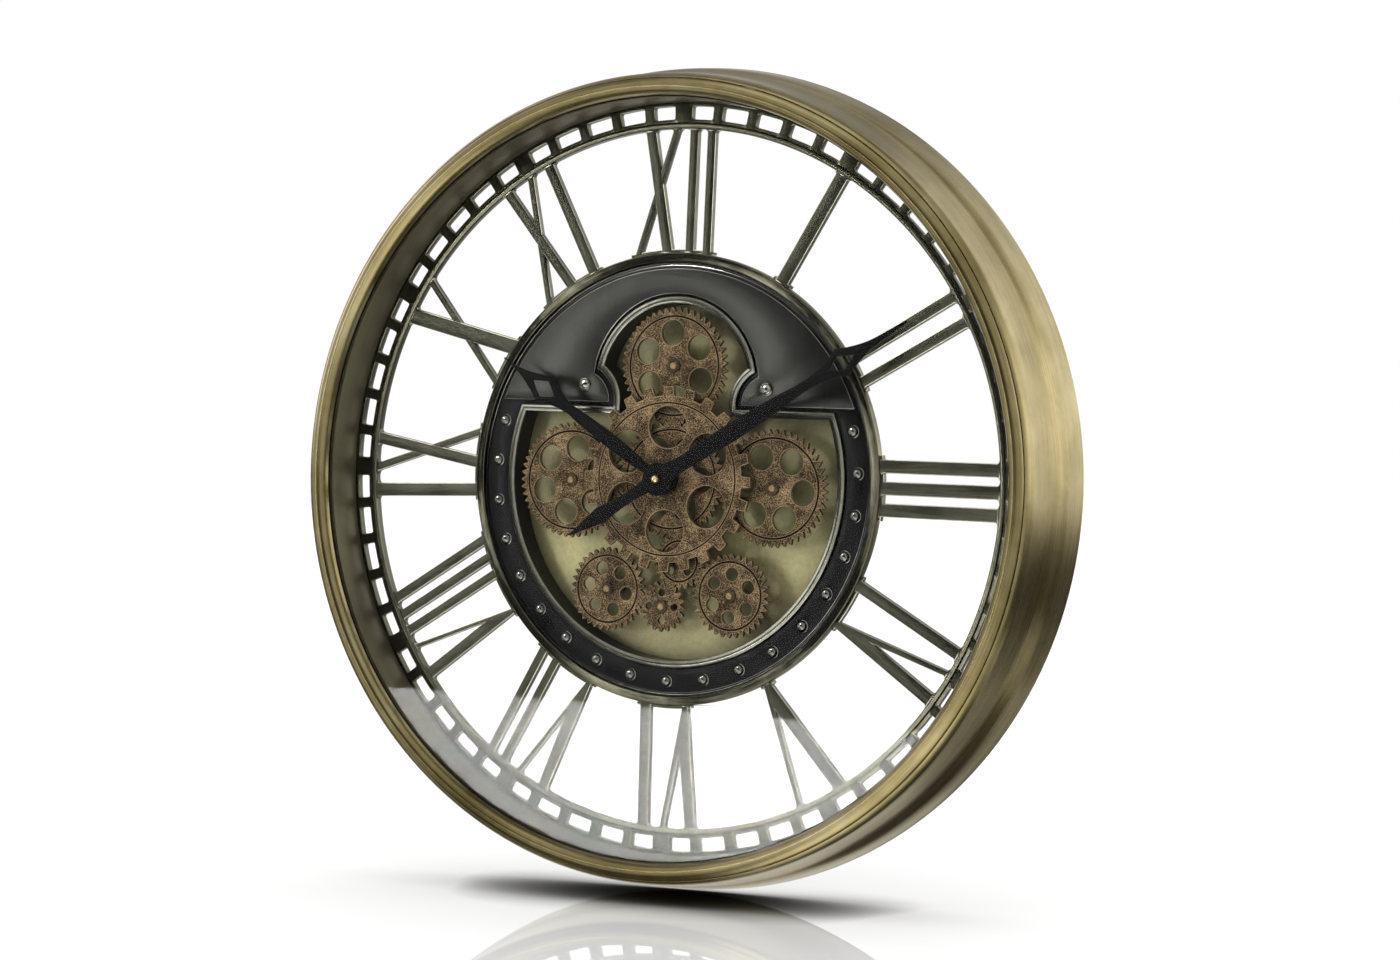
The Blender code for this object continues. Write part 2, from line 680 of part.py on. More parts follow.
CENTRE = (0.0, 0.0)
SIDE_DIRECTION = 92.5
IDLER_DIRECTION = 171.6
RIGHT_DIRECTION = 118.5
SMALL_DIRECTION = 201.2
LEFT_DIRECTION = 283.2
TOP_AT = next_to(CENTRE, LARGE_TEETH, LARGE_TEETH, 0.0)
LEFT_AT = next_to(CENTRE, LARGE_TEETH, LARGE_TEETH, -SIDE_DIRECTION)
RIGHT_AT = next_to(CENTRE, LARGE_TEETH, LARGE_TEETH, SIDE_DIRECTION)
IDLER_AT = next_to(CENTRE, LARGE_TEETH, IDLER_TEETH, IDLER_DIRECTION)
LOWER_RIGHT_AT = next_to(IDLER_AT, IDLER_TEETH, MIDDLE_TEETH, RIGHT_DIRECTION)
SMALL_AT = next_to(IDLER_AT, IDLER_TEETH, SMALL_TEETH, SMALL_DIRECTION)
LOWER_LEFT_AT = next_to(SMALL_AT, SMALL_TEETH, MIDDLE_TEETH, LEFT_DIRECTION)
IDLER_TURN = meshed_turn(0.0, LARGE_TEETH, IDLER_TEETH, IDLER_DIRECTION)
SMALL_TURN = meshed_turn(IDLER_TURN, IDLER_TEETH, SMALL_TEETH, SMALL_DIRECTION)


def tooth_loop(teeth, turn):
    # Straight-sided teeth: a narrow tip and a root where the sides meet.
    tip = MODULE * (teeth / 2 + ADDENDUM)
    root = tip - MODULE * TOOTH_HEIGHT
    step = 360.0 / teeth
    points = []
    for i in range(teeth):
        middle = turn + i * step
        points.append(polar(tip, middle - TIP_SHARE / 2 * step))
        points.append(polar(tip, middle + TIP_SHARE / 2 * step))
        points.append(polar(root, middle + step / 2))
    return points


def block_tooth_loop(teeth, tip, root, tip_share, root_share):
    # Square teeth with flat lands between them.
    step = 360.0 / teeth
    points = []
    for i in range(teeth):
        for radius, share in ((root, -root_share), (tip, -tip_share), (tip, tip_share), (root, root_share)):
            points.append(polar(radius, (i + share / 2) * step))
    return points


def ring_of_holes(count, circle_radius, radius, sides, turn):
    return [circle(radius, sides, polar(circle_radius, turn + 360.0 * i / count)) for i in range(count)]


SPIGOT_HOLE = SPIGOT_RADIUS + GAP
GEAR_BACK = GEAR_TOP - GEAR_THICK
LARGE_HOLES = (6, 14.0 * MODULE, 5.53 * MODULE, 8)
MIDDLE_HOLES = (6, 9.18 * MODULE, 2.94 * MODULE, 8)
IDLER_HOLES = (4, 5.9 * MODULE, 1.76 * MODULE, 8)
SMALL_HOLES = (4, 6.0 * MODULE, 1.76 * MODULE, 8)
TOP_TURN = meshed_turn(0.0, LARGE_TEETH, LARGE_TEETH, 0.0)
LEFT_TURN = meshed_turn(0.0, LARGE_TEETH, LARGE_TEETH, -SIDE_DIRECTION)
RIGHT_TURN = meshed_turn(0.0, LARGE_TEETH, LARGE_TEETH, SIDE_DIRECTION)
LOWER_RIGHT_TURN = meshed_turn(IDLER_TURN, IDLER_TEETH, MIDDLE_TEETH, RIGHT_DIRECTION)
LOWER_LEFT_TURN = meshed_turn(SMALL_TURN, SMALL_TEETH, MIDDLE_TEETH, LEFT_DIRECTION)
TRAIN = (
    ("top_gear", LARGE_TEETH, TOP_AT, TOP_TURN, LARGE_HOLES, -4.5),
    ("left_gear", LARGE_TEETH, LEFT_AT, LEFT_TURN, LARGE_HOLES, 10.4),
    ("right_gear", LARGE_TEETH, RIGHT_AT, RIGHT_TURN, LARGE_HOLES, 36.0),
    ("idler_gear", IDLER_TEETH, IDLER_AT, IDLER_TURN, IDLER_HOLES, 45.0),
    ("lower_right_gear", MIDDLE_TEETH, LOWER_RIGHT_AT, LOWER_RIGHT_TURN, MIDDLE_HOLES, 3.8),
    ("small_gear", SMALL_TEETH, SMALL_AT, SMALL_TURN, SMALL_HOLES, 0.0),
    ("lower_left_gear", MIDDLE_TEETH, LOWER_LEFT_AT, LOWER_LEFT_TURN, MIDDLE_HOLES, -19.5),
)
ARBOR_PROFILE = [
    (0.0, GEAR_TOP + 2.9 * MM),
    (0.48 * ARBOR_HEAD, GEAR_TOP + 1.9 * MM),
    (ARBOR_HEAD, GEAR_TOP + 1.5 * MM),
    (ARBOR_HEAD, GEAR_TOP + GAP),
    (SPIGOT_RADIUS, GEAR_TOP + GAP),
    (SPIGOT_RADIUS, GEAR_BACK - GAP),
    (0.8 * ARBOR_HEAD, GEAR_BACK - GAP),
    (0.8 * ARBOR_HEAD, BACK_PLATE_TOP + GAP),
    (ARBOR_RADIUS, BACK_PLATE_TOP + GAP),
    (ARBOR_RADIUS, ARBOR_BACK),
    (0.0, ARBOR_BACK),
]
ARBOR_STEPS = 10
for name, teeth, at, turn, holes, hole_turn in TRAIN:
    loops = [tooth_loop(teeth, turn), circle(SPIGOT_HOLE, 12)]
    loops += ring_of_holes(*holes, hole_turn)
    stand(plate(name, loops, GEAR_BACK, GEAR_TOP, COPPER), at)
    arbor = turned(name + "_arbor", ARBOR_PROFILE, COPPER, ARBOR_STEPS)
    stand(smooth_round(arbor), at)

# Centre gears on their tube
TUBE_HOLE = TUBE_RADIUS + GAP
COARSE_BACK = COARSE_TOP - GEAR_THICK
fine_loops = [tooth_loop(LARGE_TEETH, 0.0), circle(TUBE_HOLE, 16)]
fine_loops += ring_of_holes(*LARGE_HOLES, 30.0)
stand(plate("centre_fine_gear", fine_loops, GEAR_BACK, GEAR_TOP, COPPER))
coarse_teeth = block_tooth_loop(COARSE_TEETH, COARSE_RADIUS, COARSE_ROOT, 0.40, 0.57)
coarse_loops = [coarse_teeth, circle(TUBE_HOLE, 16)]
coarse_loops += ring_of_holes(6, 0.56 * COARSE_RADIUS, 0.229 * COARSE_RADIUS, 10, 0.0)
stand(plate("centre_coarse_gear", coarse_loops, COARSE_BACK, COARSE_TOP, COPPER))
spacer = turned("centre_spacer", [
    (1.6 * TUBE_RADIUS, COARSE_BACK - GAP),
    (1.6 * TUBE_RADIUS, GEAR_TOP + GAP),
    (TUBE_HOLE, GEAR_TOP + GAP),
    (TUBE_HOLE, COARSE_BACK - GAP),
], COPPER, 16)
stand(smooth_round(spacer))
NUT_HEIGHT = 2.5 * MM
NUT_BACK = BACK_PLATE_TOP + GAP
TUBE_BACK = NUT_BACK + NUT_HEIGHT + GAP
tube = turned("centre_tube", [
    (COLLAR_RADIUS, COLLAR_FRONT),
    (COLLAR_RADIUS, COARSE_TOP + GAP),
    (TUBE_RADIUS, COARSE_TOP + GAP),
    (TUBE_RADIUS, TUBE_BACK),
    (TUBE_BORE, TUBE_BACK),
    (TUBE_BORE, COLLAR_FRONT),
], BLACK_PAINT, 16)
stand(smooth_round(tube))

# Back plate and cover of the hub
BACK_PLATE_BACK = BACK_PLATE_TOP - SHEET
COVER_INNER = COVER_RADIUS - STEEL
back_loops = [circle(COVER_INNER - GAP, COVER_STEPS), circle(BUSH_RADIUS + GAP, 16)]
for gear in TRAIN:
    back_loops.append(circle(ARBOR_RADIUS + GAP, 8, gear[2]))
stand(plate("back_plate", back_loops, BACK_PLATE_BACK, BACK_PLATE_TOP, KHAKI))

cover = turned("hub_back_cover", [
    (COVER_RADIUS, -DIAL_THICK - GAP),
    (COVER_RADIUS, COVER_BACK),
    (0.0, COVER_BACK),
    (0.0, COVER_BACK + STEEL),
    (COVER_INNER, COVER_BACK + STEEL),
    (COVER_INNER, -DIAL_THICK - GAP),
], HUB_BLACK, COVER_STEPS)
HOLDER_AT = (-0.38 * U, 0.38 * U)
HOLDER_WALL = 1.6 * MM
POCKET = 2 * CELL_RADIUS + 2 * GAP
HOLDER_SIZE = (CELL_LENGTH + 6.0 * MM + 2 * HOLDER_WALL, 2 * POCKET + 3 * HOLDER_WALL)
movement_gap = block("movement_opening", (MOVEMENT_SIDE + 2 * GAP, MOVEMENT_SIDE + 2 * GAP), CENTRE,
                     (COVER_BACK - SHEET, COVER_BACK + 2 * STEEL), as_tool=True)
holder_gap = block("holder_opening", (HOLDER_SIZE[0] + 2 * GAP, HOLDER_SIZE[1] + 2 * GAP), HOLDER_AT,
                   (COVER_BACK - SHEET, COVER_BACK + 2 * STEEL), as_tool=True)
combine(cover, movement_gap, "DIFFERENCE")
combine(cover, holder_gap, "DIFFERENCE")
for obj in (smooth_round(cover), movement_gap, holder_gap):
    stand(obj)

# Movement
CAVITY_BACK = -27.0 * MM
KNOB_AT = (0.25 * MOVEMENT_SIDE, 0.25 * MOVEMENT_SIDE)
KNOB_RADIUS = 6.5 * MM
KNOB_BACK = MOVEMENT_BACK + GAP
KNOB_THICK = 3.2 * MM
KNOB_POST = 1.5 * MM
CELL_AT = (0.0, -0.32 * MOVEMENT_SIDE)
CELL_DEPTH = MOVEMENT_BACK + GAP + CELL_RADIUS
movement = block("movement_case", (MOVEMENT_SIDE, MOVEMENT_SIDE), CENTRE,
                 (MOVEMENT_BACK, MOVEMENT_FRONT), BLACK_PLASTIC)
bush = rod("bush", BUSH_RADIUS, MOVEMENT_FRONT - STEEL, BUSH_FRONT, steps=16)
bore = rod("bush_bore", PIPE_RADIUS + GAP, CAVITY_BACK - GAP, BUSH_FRONT + STEEL, steps=16)
cell_pocket = block("cell_pocket", (CELL_LENGTH + 4 * GAP, POCKET), CELL_AT,
                    (MOVEMENT_BACK - STEEL, CELL_DEPTH + CELL_RADIUS + GAP), as_tool=True)
knob_pocket = rod("knob_pocket", KNOB_RADIUS + 2 * GAP, MOVEMENT_BACK - STEEL,
                  KNOB_BACK + KNOB_THICK + GAP, KNOB_AT, 16)
post_hole = rod("post_hole", KNOB_POST + GAP, MOVEMENT_BACK, KNOB_BACK + 2 * KNOB_THICK + GAP, KNOB_AT, 8)
combine(movement, bush, "UNION")
for tool in (bore, cell_pocket, knob_pocket, post_hole):
    combine(movement, tool, "DIFFERENCE")
for obj in (movement, bush, bore, cell_pocket, knob_pocket, post_hole):
    stand(obj)

knob = turned("setting_knob", [
    (0.0, KNOB_BACK + 2 * KNOB_THICK),
    (KNOB_POST, KNOB_BACK + 2 * KNOB_THICK),
    (KNOB_POST, KNOB_BACK + KNOB_THICK),
    (KNOB_RADIUS, KNOB_BACK + KNOB_THICK),
    (KNOB_RADIUS, KNOB_BACK),
    (0.0, KNOB_BACK),
], BLACK_PLASTIC, 16)
stand(smooth_round(knob), KNOB_AT)

nut_loops = [circle(1.6 * BUSH_RADIUS, 6), circle(BUSH_RADIUS + GAP, 16)]
stand(plate("movement_nut", nut_loops, NUT_BACK, NUT_BACK + NUT_HEIGHT, NUT_BRASS))


def battery(name, at, depth):
    # A cell that lies along X, its cap to the right.
    cap = 0.4 * CELL_RADIUS
    half = CELL_LENGTH / 2
    cell = turned(name, [
        (0.0, half),
        (cap, half),
        (cap, half - STEEL),
        (CELL_RADIUS, half - STEEL),
        (CELL_RADIUS, -half),
        (0.0, -half),
    ], CELL_WRAP, 12)
    cell.rotation_euler = (0.0, math.pi / 2, 0.0)
    cell.location = (at[0], MIDDLE - depth, at[1])
    return smooth_round(cell)


battery("movement_battery", CELL_AT, CELL_DEPTH)

# Gear motor and its batteries
UNIT_FRONT = BACK_PLATE_BACK - GAP
motor = block("gear_motor", (0.24 * U, 0.16 * U), LOWER_RIGHT_AT,
              (COVER_BACK + STEEL + GAP, UNIT_FRONT), BLACK_PLASTIC)
socket = rod("motor_socket", ARBOR_RADIUS + GAP, ARBOR_BACK - GAP, UNIT_FRONT + STEEL, LOWER_RIGHT_AT, 8)
stand(combine(motor, socket, "DIFFERENCE"))
stand(socket)
holder_body = block("battery_holder", HOLDER_SIZE, HOLDER_AT, (MOVEMENT_BACK, UNIT_FRONT), BLACK_PLASTIC)
POCKET_SIZE = (HOLDER_SIZE[0] - 2 * HOLDER_WALL, POCKET)
for index, side in enumerate((-1, 1)):
    pocket_at = (HOLDER_AT[0], HOLDER_AT[1] + side * (POCKET + HOLDER_WALL) / 2)
    pocket = block("holder_pocket_%d" % (index + 1), POCKET_SIZE, pocket_at,
                   (MOVEMENT_BACK - STEEL, CELL_DEPTH + CELL_RADIUS + GAP), as_tool=True)
    stand(combine(holder_body, pocket, "DIFFERENCE").modifiers[-1].object)
    battery("gear_battery_%d" % (index + 1), pocket_at, CELL_DEPTH)
stand(holder_body)

# Hands, with half widths along their length
MINUTE_HALF_WIDTHS = (
    (-83.0, 0.4), (-53.3, 6.2), (-39.5, 4.6), (-26.3, 4.0), (-13.2, 4.8),
    (13.2, 6.6), (26.3, 5.5), (68.5, 6.6), (105.4, 5.4), (131.7, 3.6), (152.8, 5.7),
    (165.9, 10.8), (173.8, 7.4), (184.4, 4.2), (194.9, 2.4), (210.7, 1.6), (221.5, 0.6),
)
MINUTE_EYE = ((153.6, 0.0), (164.6, 5.7), (175.9, 0.0), (164.6, -5.7))
HOUR_HALF_WIDTHS = (
    (13.2, 3.4), (26.3, 4.6), (52.7, 5.3), (79.0, 4.5), (89.6, 3.8), (105.4, 6.8),
    (115.9, 10.8), (126.4, 6.2), (137.0, 2.6), (147.5, 1.1), (156.0, 0.6),
)
HOUR_EYE = ((104.8, 0.0), (115.1, 6.8), (126.4, 0.0), (115.1, -6.8))
HAND_BOSS = 12.0


def hand_loops(half_widths, eye, bore_radius):
    # The outline around the boss, drawn with the hand pointing to twelve.
    right = []
    tail = [pair for pair in half_widths if pair[0] < 0.0]
    nose = [pair for pair in half_widths if pair[0] > 0.0]
    start = math.degrees(math.acos(tail[-1][1] / HAND_BOSS)) if tail else 90.0
    end = math.degrees(math.acos(nose[0][1] / HAND_BOSS))
    right += [(w, a) for a, w in tail]
    right += arc((0.0, 0.0), HAND_BOSS, -start, end, 6)
    right += [(w, a) for a, w in nose]
    left = [(-x, y) for x, y in reversed(right)]
    if not tail:
        left = left[:-1]
    outline = [scaled(point) for point in right + left]
    opening = [scaled((y, x)) for x, y in eye]
    return [outline, opening, circle(bore_radius, 16)]


hour_loops = hand_loops(HOUR_HALF_WIDTHS, HOUR_EYE, PIPE_RADIUS + GAP)
HOUR_HAND_TOP = HOUR_HAND_BACK + HAND_THICK
hour_hand = plate("hour_hand", hour_loops, HOUR_HAND_BACK, HOUR_HAND_TOP, BLACK_PAINT)
stand(hour_hand, turn=HOUR_ANGLE)
minute_loops = hand_loops(MINUTE_HALF_WIDTHS, MINUTE_EYE, MINUTE_RADIUS + GAP)
MINUTE_HAND_TOP = MINUTE_HAND_BACK + HAND_THICK
minute_hand = plate("minute_hand", minute_loops, MINUTE_HAND_BACK, MINUTE_HAND_TOP, BLACK_PAINT)
stand(minute_hand, turn=MINUTE_ANGLE)

pipe = turned("hour_pipe", [
    (PIPE_RADIUS, HOUR_HAND_TOP + GAP),
    (PIPE_RADIUS, CAVITY_BACK + 2 * GAP),
    (PIPE_BORE, CAVITY_BACK + 2 * GAP),
    (PIPE_BORE, HOUR_HAND_TOP + GAP),
], NUT_BRASS, 16)
stand(smooth_round(pipe))
ARBOR_TIP = MINUTE_HAND_TOP + 2.5 * MM
minute_arbor = turned("minute_arbor", [
    (0.0, ARBOR_TIP),
    (MINUTE_RADIUS, ARBOR_TIP),
    (MINUTE_RADIUS, CAVITY_BACK),
    (0.0, CAVITY_BACK),
], ZINC, 12)
stand(smooth_round(minute_arbor))
NUT_BORE = MINUTE_RADIUS + GAP
hand_nut = turned("hand_nut", [
    (0.0, NUT_TIP),
    (0.6 * NUT_RADIUS, NUT_TIP - 0.25 * NUT_RADIUS),
    (NUT_RADIUS, NUT_TIP - 0.8 * NUT_RADIUS),
    (NUT_RADIUS, MINUTE_HAND_TOP + GAP),
    (NUT_BORE, MINUTE_HAND_TOP + GAP),
    (NUT_BORE, ARBOR_TIP + GAP),
    (0.0, ARBOR_TIP + GAP),
], NUT_BRASS, 12)
stand(smooth_round(hand_nut))

# Hanger
HANGER_WIDTH = 60.0 * MM
HANGER_TOP = CASE_RADIUS - 5.5 * MM
HANGER_HEIGHT = 18.5 * MM
HANGER_BACK = STEEL - CASE_BACK + GAP
KEY_HEAD = 4.0 * MM
KEY_SLOT = 2.0 * MM
KEY_RISE = 7.0 * MM
key_y = HANGER_TOP - HANGER_HEIGHT + 1.6 * KEY_HEAD
key_low = math.degrees(math.asin(KEY_SLOT / KEY_HEAD))
keyhole = arc((0.0, key_y), KEY_HEAD, 90.0 + key_low, 450.0 - key_low, 10)
keyhole += arc((0.0, key_y + KEY_RISE), KEY_SLOT, 0.0, 180.0, 4)
half_width = HANGER_WIDTH / 2
hanger_low = HANGER_TOP - HANGER_HEIGHT
hanger_outline = [
    (-half_width, hanger_low),
    (half_width, hanger_low),
    (half_width, HANGER_TOP),
    (-half_width, HANGER_TOP),
]
stand(plate("hanger_plate", [hanger_outline, keyhole], HANGER_BACK, HANGER_BACK + STEEL, ZINC))
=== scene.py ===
import json
import math

import bmesh
import bpy
from mathutils import Matrix, Vector

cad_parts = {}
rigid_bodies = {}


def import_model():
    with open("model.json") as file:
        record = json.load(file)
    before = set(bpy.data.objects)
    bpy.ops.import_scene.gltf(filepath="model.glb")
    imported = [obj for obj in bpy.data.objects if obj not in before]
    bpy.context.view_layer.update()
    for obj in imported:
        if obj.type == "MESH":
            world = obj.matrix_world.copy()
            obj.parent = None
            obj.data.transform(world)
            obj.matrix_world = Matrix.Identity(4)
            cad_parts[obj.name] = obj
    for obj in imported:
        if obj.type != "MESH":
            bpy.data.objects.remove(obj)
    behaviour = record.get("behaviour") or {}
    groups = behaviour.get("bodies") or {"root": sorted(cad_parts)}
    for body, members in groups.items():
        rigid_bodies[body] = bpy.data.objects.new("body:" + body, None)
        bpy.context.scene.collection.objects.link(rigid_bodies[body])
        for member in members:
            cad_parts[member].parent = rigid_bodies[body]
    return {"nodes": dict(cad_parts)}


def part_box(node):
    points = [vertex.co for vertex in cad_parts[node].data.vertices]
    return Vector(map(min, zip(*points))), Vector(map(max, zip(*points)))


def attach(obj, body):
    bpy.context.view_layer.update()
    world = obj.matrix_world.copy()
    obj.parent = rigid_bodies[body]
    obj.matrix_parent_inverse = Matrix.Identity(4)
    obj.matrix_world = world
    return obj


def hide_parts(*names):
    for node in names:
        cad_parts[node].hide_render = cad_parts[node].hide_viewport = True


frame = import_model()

bpy.ops.object.select_all(action="DESELECT")
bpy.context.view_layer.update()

# Sizes are in millimetres, and the main ones come from the solids. A place
# is x to the right, y up and depth towards the glass, with depth 0 at the
# front of the minute track.
MM = 0.001
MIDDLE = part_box("minute_ring")[0].y / MM


def radius_of(node):
    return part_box(node)[1].x / MM


def front_of(node):
    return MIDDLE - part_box(node)[0].y / MM


def back_of(node):
    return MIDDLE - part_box(node)[1].y / MM


# The finished outside stays this much inside the solids' box.
MARGIN = 0.02
CASE = radius_of("case_shell")
CASE_BACK = back_of("case_shell") + MARGIN
BEZEL = radius_of("front_bezel")
BEZEL_FRONT = front_of("front_bezel") - MARGIN
SEAL = radius_of("glass_gasket")
PANE = radius_of("glass_pane")
PANE_BACK, PANE_FRONT = back_of("glass_pane"), front_of("glass_pane")
SLEEVE = radius_of("inner_sleeve")
TRACK = radius_of("minute_ring")
TRACK_BACK = back_of("minute_ring")
HUB = radius_of("hub_rim")
HUB_BACK = back_of("hub_rim")
RIM_FRONT = front_of("hub_rim")
ARCH_FRONT = front_of("top_plate")
WALL_BACK = back_of("window_frame")
COVER = radius_of("hub_back_cover")
COVER_BACK = back_of("hub_back_cover")
WELD = 0.000005
SMOOTH_ANGLE = 34.0
RING_STEPS, TRACK_STEPS, COVER_STEPS, COARSE_STEPS = 192, 240, 144, 128


# Points of outlines and profiles
def polar(radius, clock_angle):
    a = math.radians(clock_angle)
    return (radius * math.sin(a), radius * math.cos(a))


def arc(centre, radius, start, end, count):
    points = []
    for i in range(count + 1):
        a = math.radians(start + (end - start) * i / count)
        points.append((centre[0] + radius * math.cos(a), centre[1] + radius * math.sin(a)))
    return points


def turned_points(points, clock_angle):
    a = math.radians(-clock_angle)
    c, s = math.cos(a), math.sin(a)
    return [(x * c - y * s, x * s + y * c) for x, y in points]


def curve_through(points, count):
    # Points along a smooth curve that passes through the given ones.
    result = []
    for i in range(len(points) - 1):
        around = (points[max(i - 1, 0)], points[i], points[i + 1], points[min(i + 2, len(points) - 1)])
        for k in range(count):
            t = k / count
            point = []
            for a, b, c, d in zip(*around):
                bend = (2 * a - 5 * b + 4 * c - d) * t * t + (3 * b - a - 3 * c + d) * t ** 3
                point.append(0.5 * (2 * b + (c - a) * t + bend))
            result.append(tuple(point))
    result.append(tuple(points[-1]))
    return result


def softened(profile, radius, count, closed=True):
    # Rounds each corner of a profile that turns by more than a little.
    result = []
    total = len(profile)
    for i in range(total):
        if not closed and i in (0, total - 1):
            result.append(profile[i])
            continue
        here = Vector(profile[i])
        back, ahead = Vector(profile[i - 1]) - here, Vector(profile[(i + 1) % total]) - here
        angle = back.angle(ahead, math.pi)
        reach = min(radius / max(math.tan(angle / 2), 0.2), back.length * 0.45, ahead.length * 0.45)
        if angle > math.radians(165) or reach < 0.02:
            result.append(tuple(here))
            continue
        first, last = here + back.normalized() * reach, here + ahead.normalized() * reach
        for k in range(count + 1):
            t = k / count
            result.append(tuple(first * (1 - t) ** 2 + here * 2 * t * (1 - t) + last * t * t))
    return result


# Modelling: a piece is drawn, filled, spun and stepped in edit mode
def spot(x, y, depth):
    return Vector((x, MIDDLE - depth, y)) * MM


def begin():
    bpy.ops.object.select_all(action="DESELECT")
    bpy.ops.object.add(type="MESH", enter_editmode=True)
    bpy.ops.mesh.select_mode(type="VERT")


def trace(points, closed=True):
    # One vertex, extruded from point to point.
    bpy.ops.mesh.primitive_plane_add(size=MM, location=points[0])
    bpy.ops.mesh.merge(type="CENTER")
    ends = points[1:] + points[:1] if closed else points[1:]
    for here, there in zip(points, ends):
        bpy.ops.mesh.extrude_vertices_move(TRANSFORM_OT_translate={"value": there - here})


def weld():
    bpy.ops.mesh.select_all(action="SELECT")
    bpy.ops.mesh.remove_doubles(threshold=WELD)


def set_aside():
    # What is finished is hidden until the whole piece is.
    bpy.ops.mesh.select_all(action="SELECT")
    bpy.ops.mesh.hide()


def pick(test):
    # Selects the faces that pass a test of their middle and normal.
    mesh = bpy.context.object.data
    faces = bmesh.from_edit_mesh(mesh)
    bpy.ops.mesh.select_mode(type="FACE")
    bpy.ops.mesh.select_all(action="DESELECT")
    for face in faces.faces:
        if not face.hide and test(face.calc_center_median(), face.normal):
            face.select_set(True)
    bmesh.update_edit_mesh(mesh)


def loop_of(points):
    def draw(depth):
        trace([spot(x, y, depth) for x, y in points])
    return draw


def circle_of(radius, sides, centre=(0.0, 0.0)):
    def draw(depth):
        bpy.ops.mesh.primitive_circle_add(vertices=sides, radius=radius * MM, location=spot(*centre, depth),
                                          rotation=(math.pi / 2, 0.0, 0.0))
    return draw


def repeat(count, depth, centre=(0.0, 0.0)):
    bpy.ops.mesh.spin(steps=count - 1, dupli=True, angle=2 * math.pi * (count - 1) / count,
                      center=spot(*centre, depth), axis=(0.0, 1.0, 0.0))


def step_over(edge, rows):
    # Insets along a quarter circle, so that an edge is rounded.
    for k in range(rows):
        a, b = math.pi / 2 * k / rows, math.pi / 2 * (k + 1) / rows
        bpy.ops.mesh.inset(thickness=edge * MM * (math.cos(a) - math.cos(b)),
                           depth=edge * MM * (math.sin(b) - math.sin(a)))


def slab(outlines, back, front, edge, rows=2):
    # A flat piece between outlines, with its front and back edges rounded.
    for draw in outlines:
        draw(back + edge)
    weld()
    bpy.ops.mesh.fill()
    rise = front - back - 2 * edge
    bpy.ops.mesh.extrude_region_move(TRANSFORM_OT_translate={"value": (0.0, -rise * MM, 0.0)})
    bpy.ops.mesh.select_all(action="SELECT")
    bpy.ops.mesh.normals_make_consistent(inside=False)
    for side in (-1, 1):
        pick(lambda middle, normal: normal.y * side > 0.99)
        step_over(edge, rows)
    bpy.ops.mesh.select_mode(type="VERT")
    set_aside()


def spun(points, steps, centre, axis=(0.0, 1.0, 0.0), closed=False):
    trace(points, closed)
    weld()
    bpy.ops.mesh.spin(steps=steps, angle=2 * math.pi, center=centre, axis=axis)
    weld()


def beside(centre, profile):
    # A profile of radius and depth, drawn to the right of a centre.
    return [spot(centre[0] + radius, centre[1], depth) for radius, depth in profile]


def turned(profile, steps, centre=(0.0, 0.0), closed=True):
    # A profile spun about the clock's axis or one beside it.
    spun(beside(centre, profile), steps, spot(*centre, 0.0), closed=closed)
    set_aside()


def edges_rubbed(flat=0.0, edge=1.0, wall=0.25):
    def rule(place, facing):
        if facing > 0.97:
            return flat
        return wall if facing < 0.15 else edge
    return rule


def grooved(front):
    # As above, with painted shade in the groove of a gear's face.
    def rule(place, facing):
        if facing > 0.9 and front - 1.5 < place[2] < front - 0.5:
            return -1.0
        return edges_rubbed(0.0, 0.9, 0.25)(place, facing)
    return rule


def finish(name, material, body, node, slot, wear_and_shade_rule=edges_rubbed()):
    # Leaves edit mode, notes where the finish is rubbed and where shade is painted (values below 0), and
    # hands the piece over.
    bpy.ops.mesh.reveal()
    bpy.ops.mesh.select_all(action="SELECT")
    bpy.ops.mesh.normals_make_consistent(inside=False)
    bpy.ops.object.mode_set(mode="OBJECT")
    bpy.ops.object.shade_smooth_by_angle(angle=math.radians(SMOOTH_ANGLE))
    piece = bpy.context.object
    piece.name = name
    piece.data.name = name
    piece.data.materials.append(material)
    wear = []
    for face in piece.data.polygons:
        x, y, z = face.center / MM
        wear.append(wear_and_shade_rule((x, z, MIDDLE - y), abs(face.normal.y)))
    piece.data.attributes.new("wear", "FLOAT", "FACE").data.foreach_set("value", wear)
    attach(piece, body)
    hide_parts(node)
    return piece


# Materials
def linear(*colours):
    # Colours as the screen shows them, turned into the values that a shader takes.
    result = []
    for colour in colours:
        values = []
        for c in (level / 255 for level in colour):
            values.append(c / 12.92 if c <= 0.04045 else ((c + 0.055) / 1.055) ** 2.4)
        result.append((*values, 1.0))
    return result


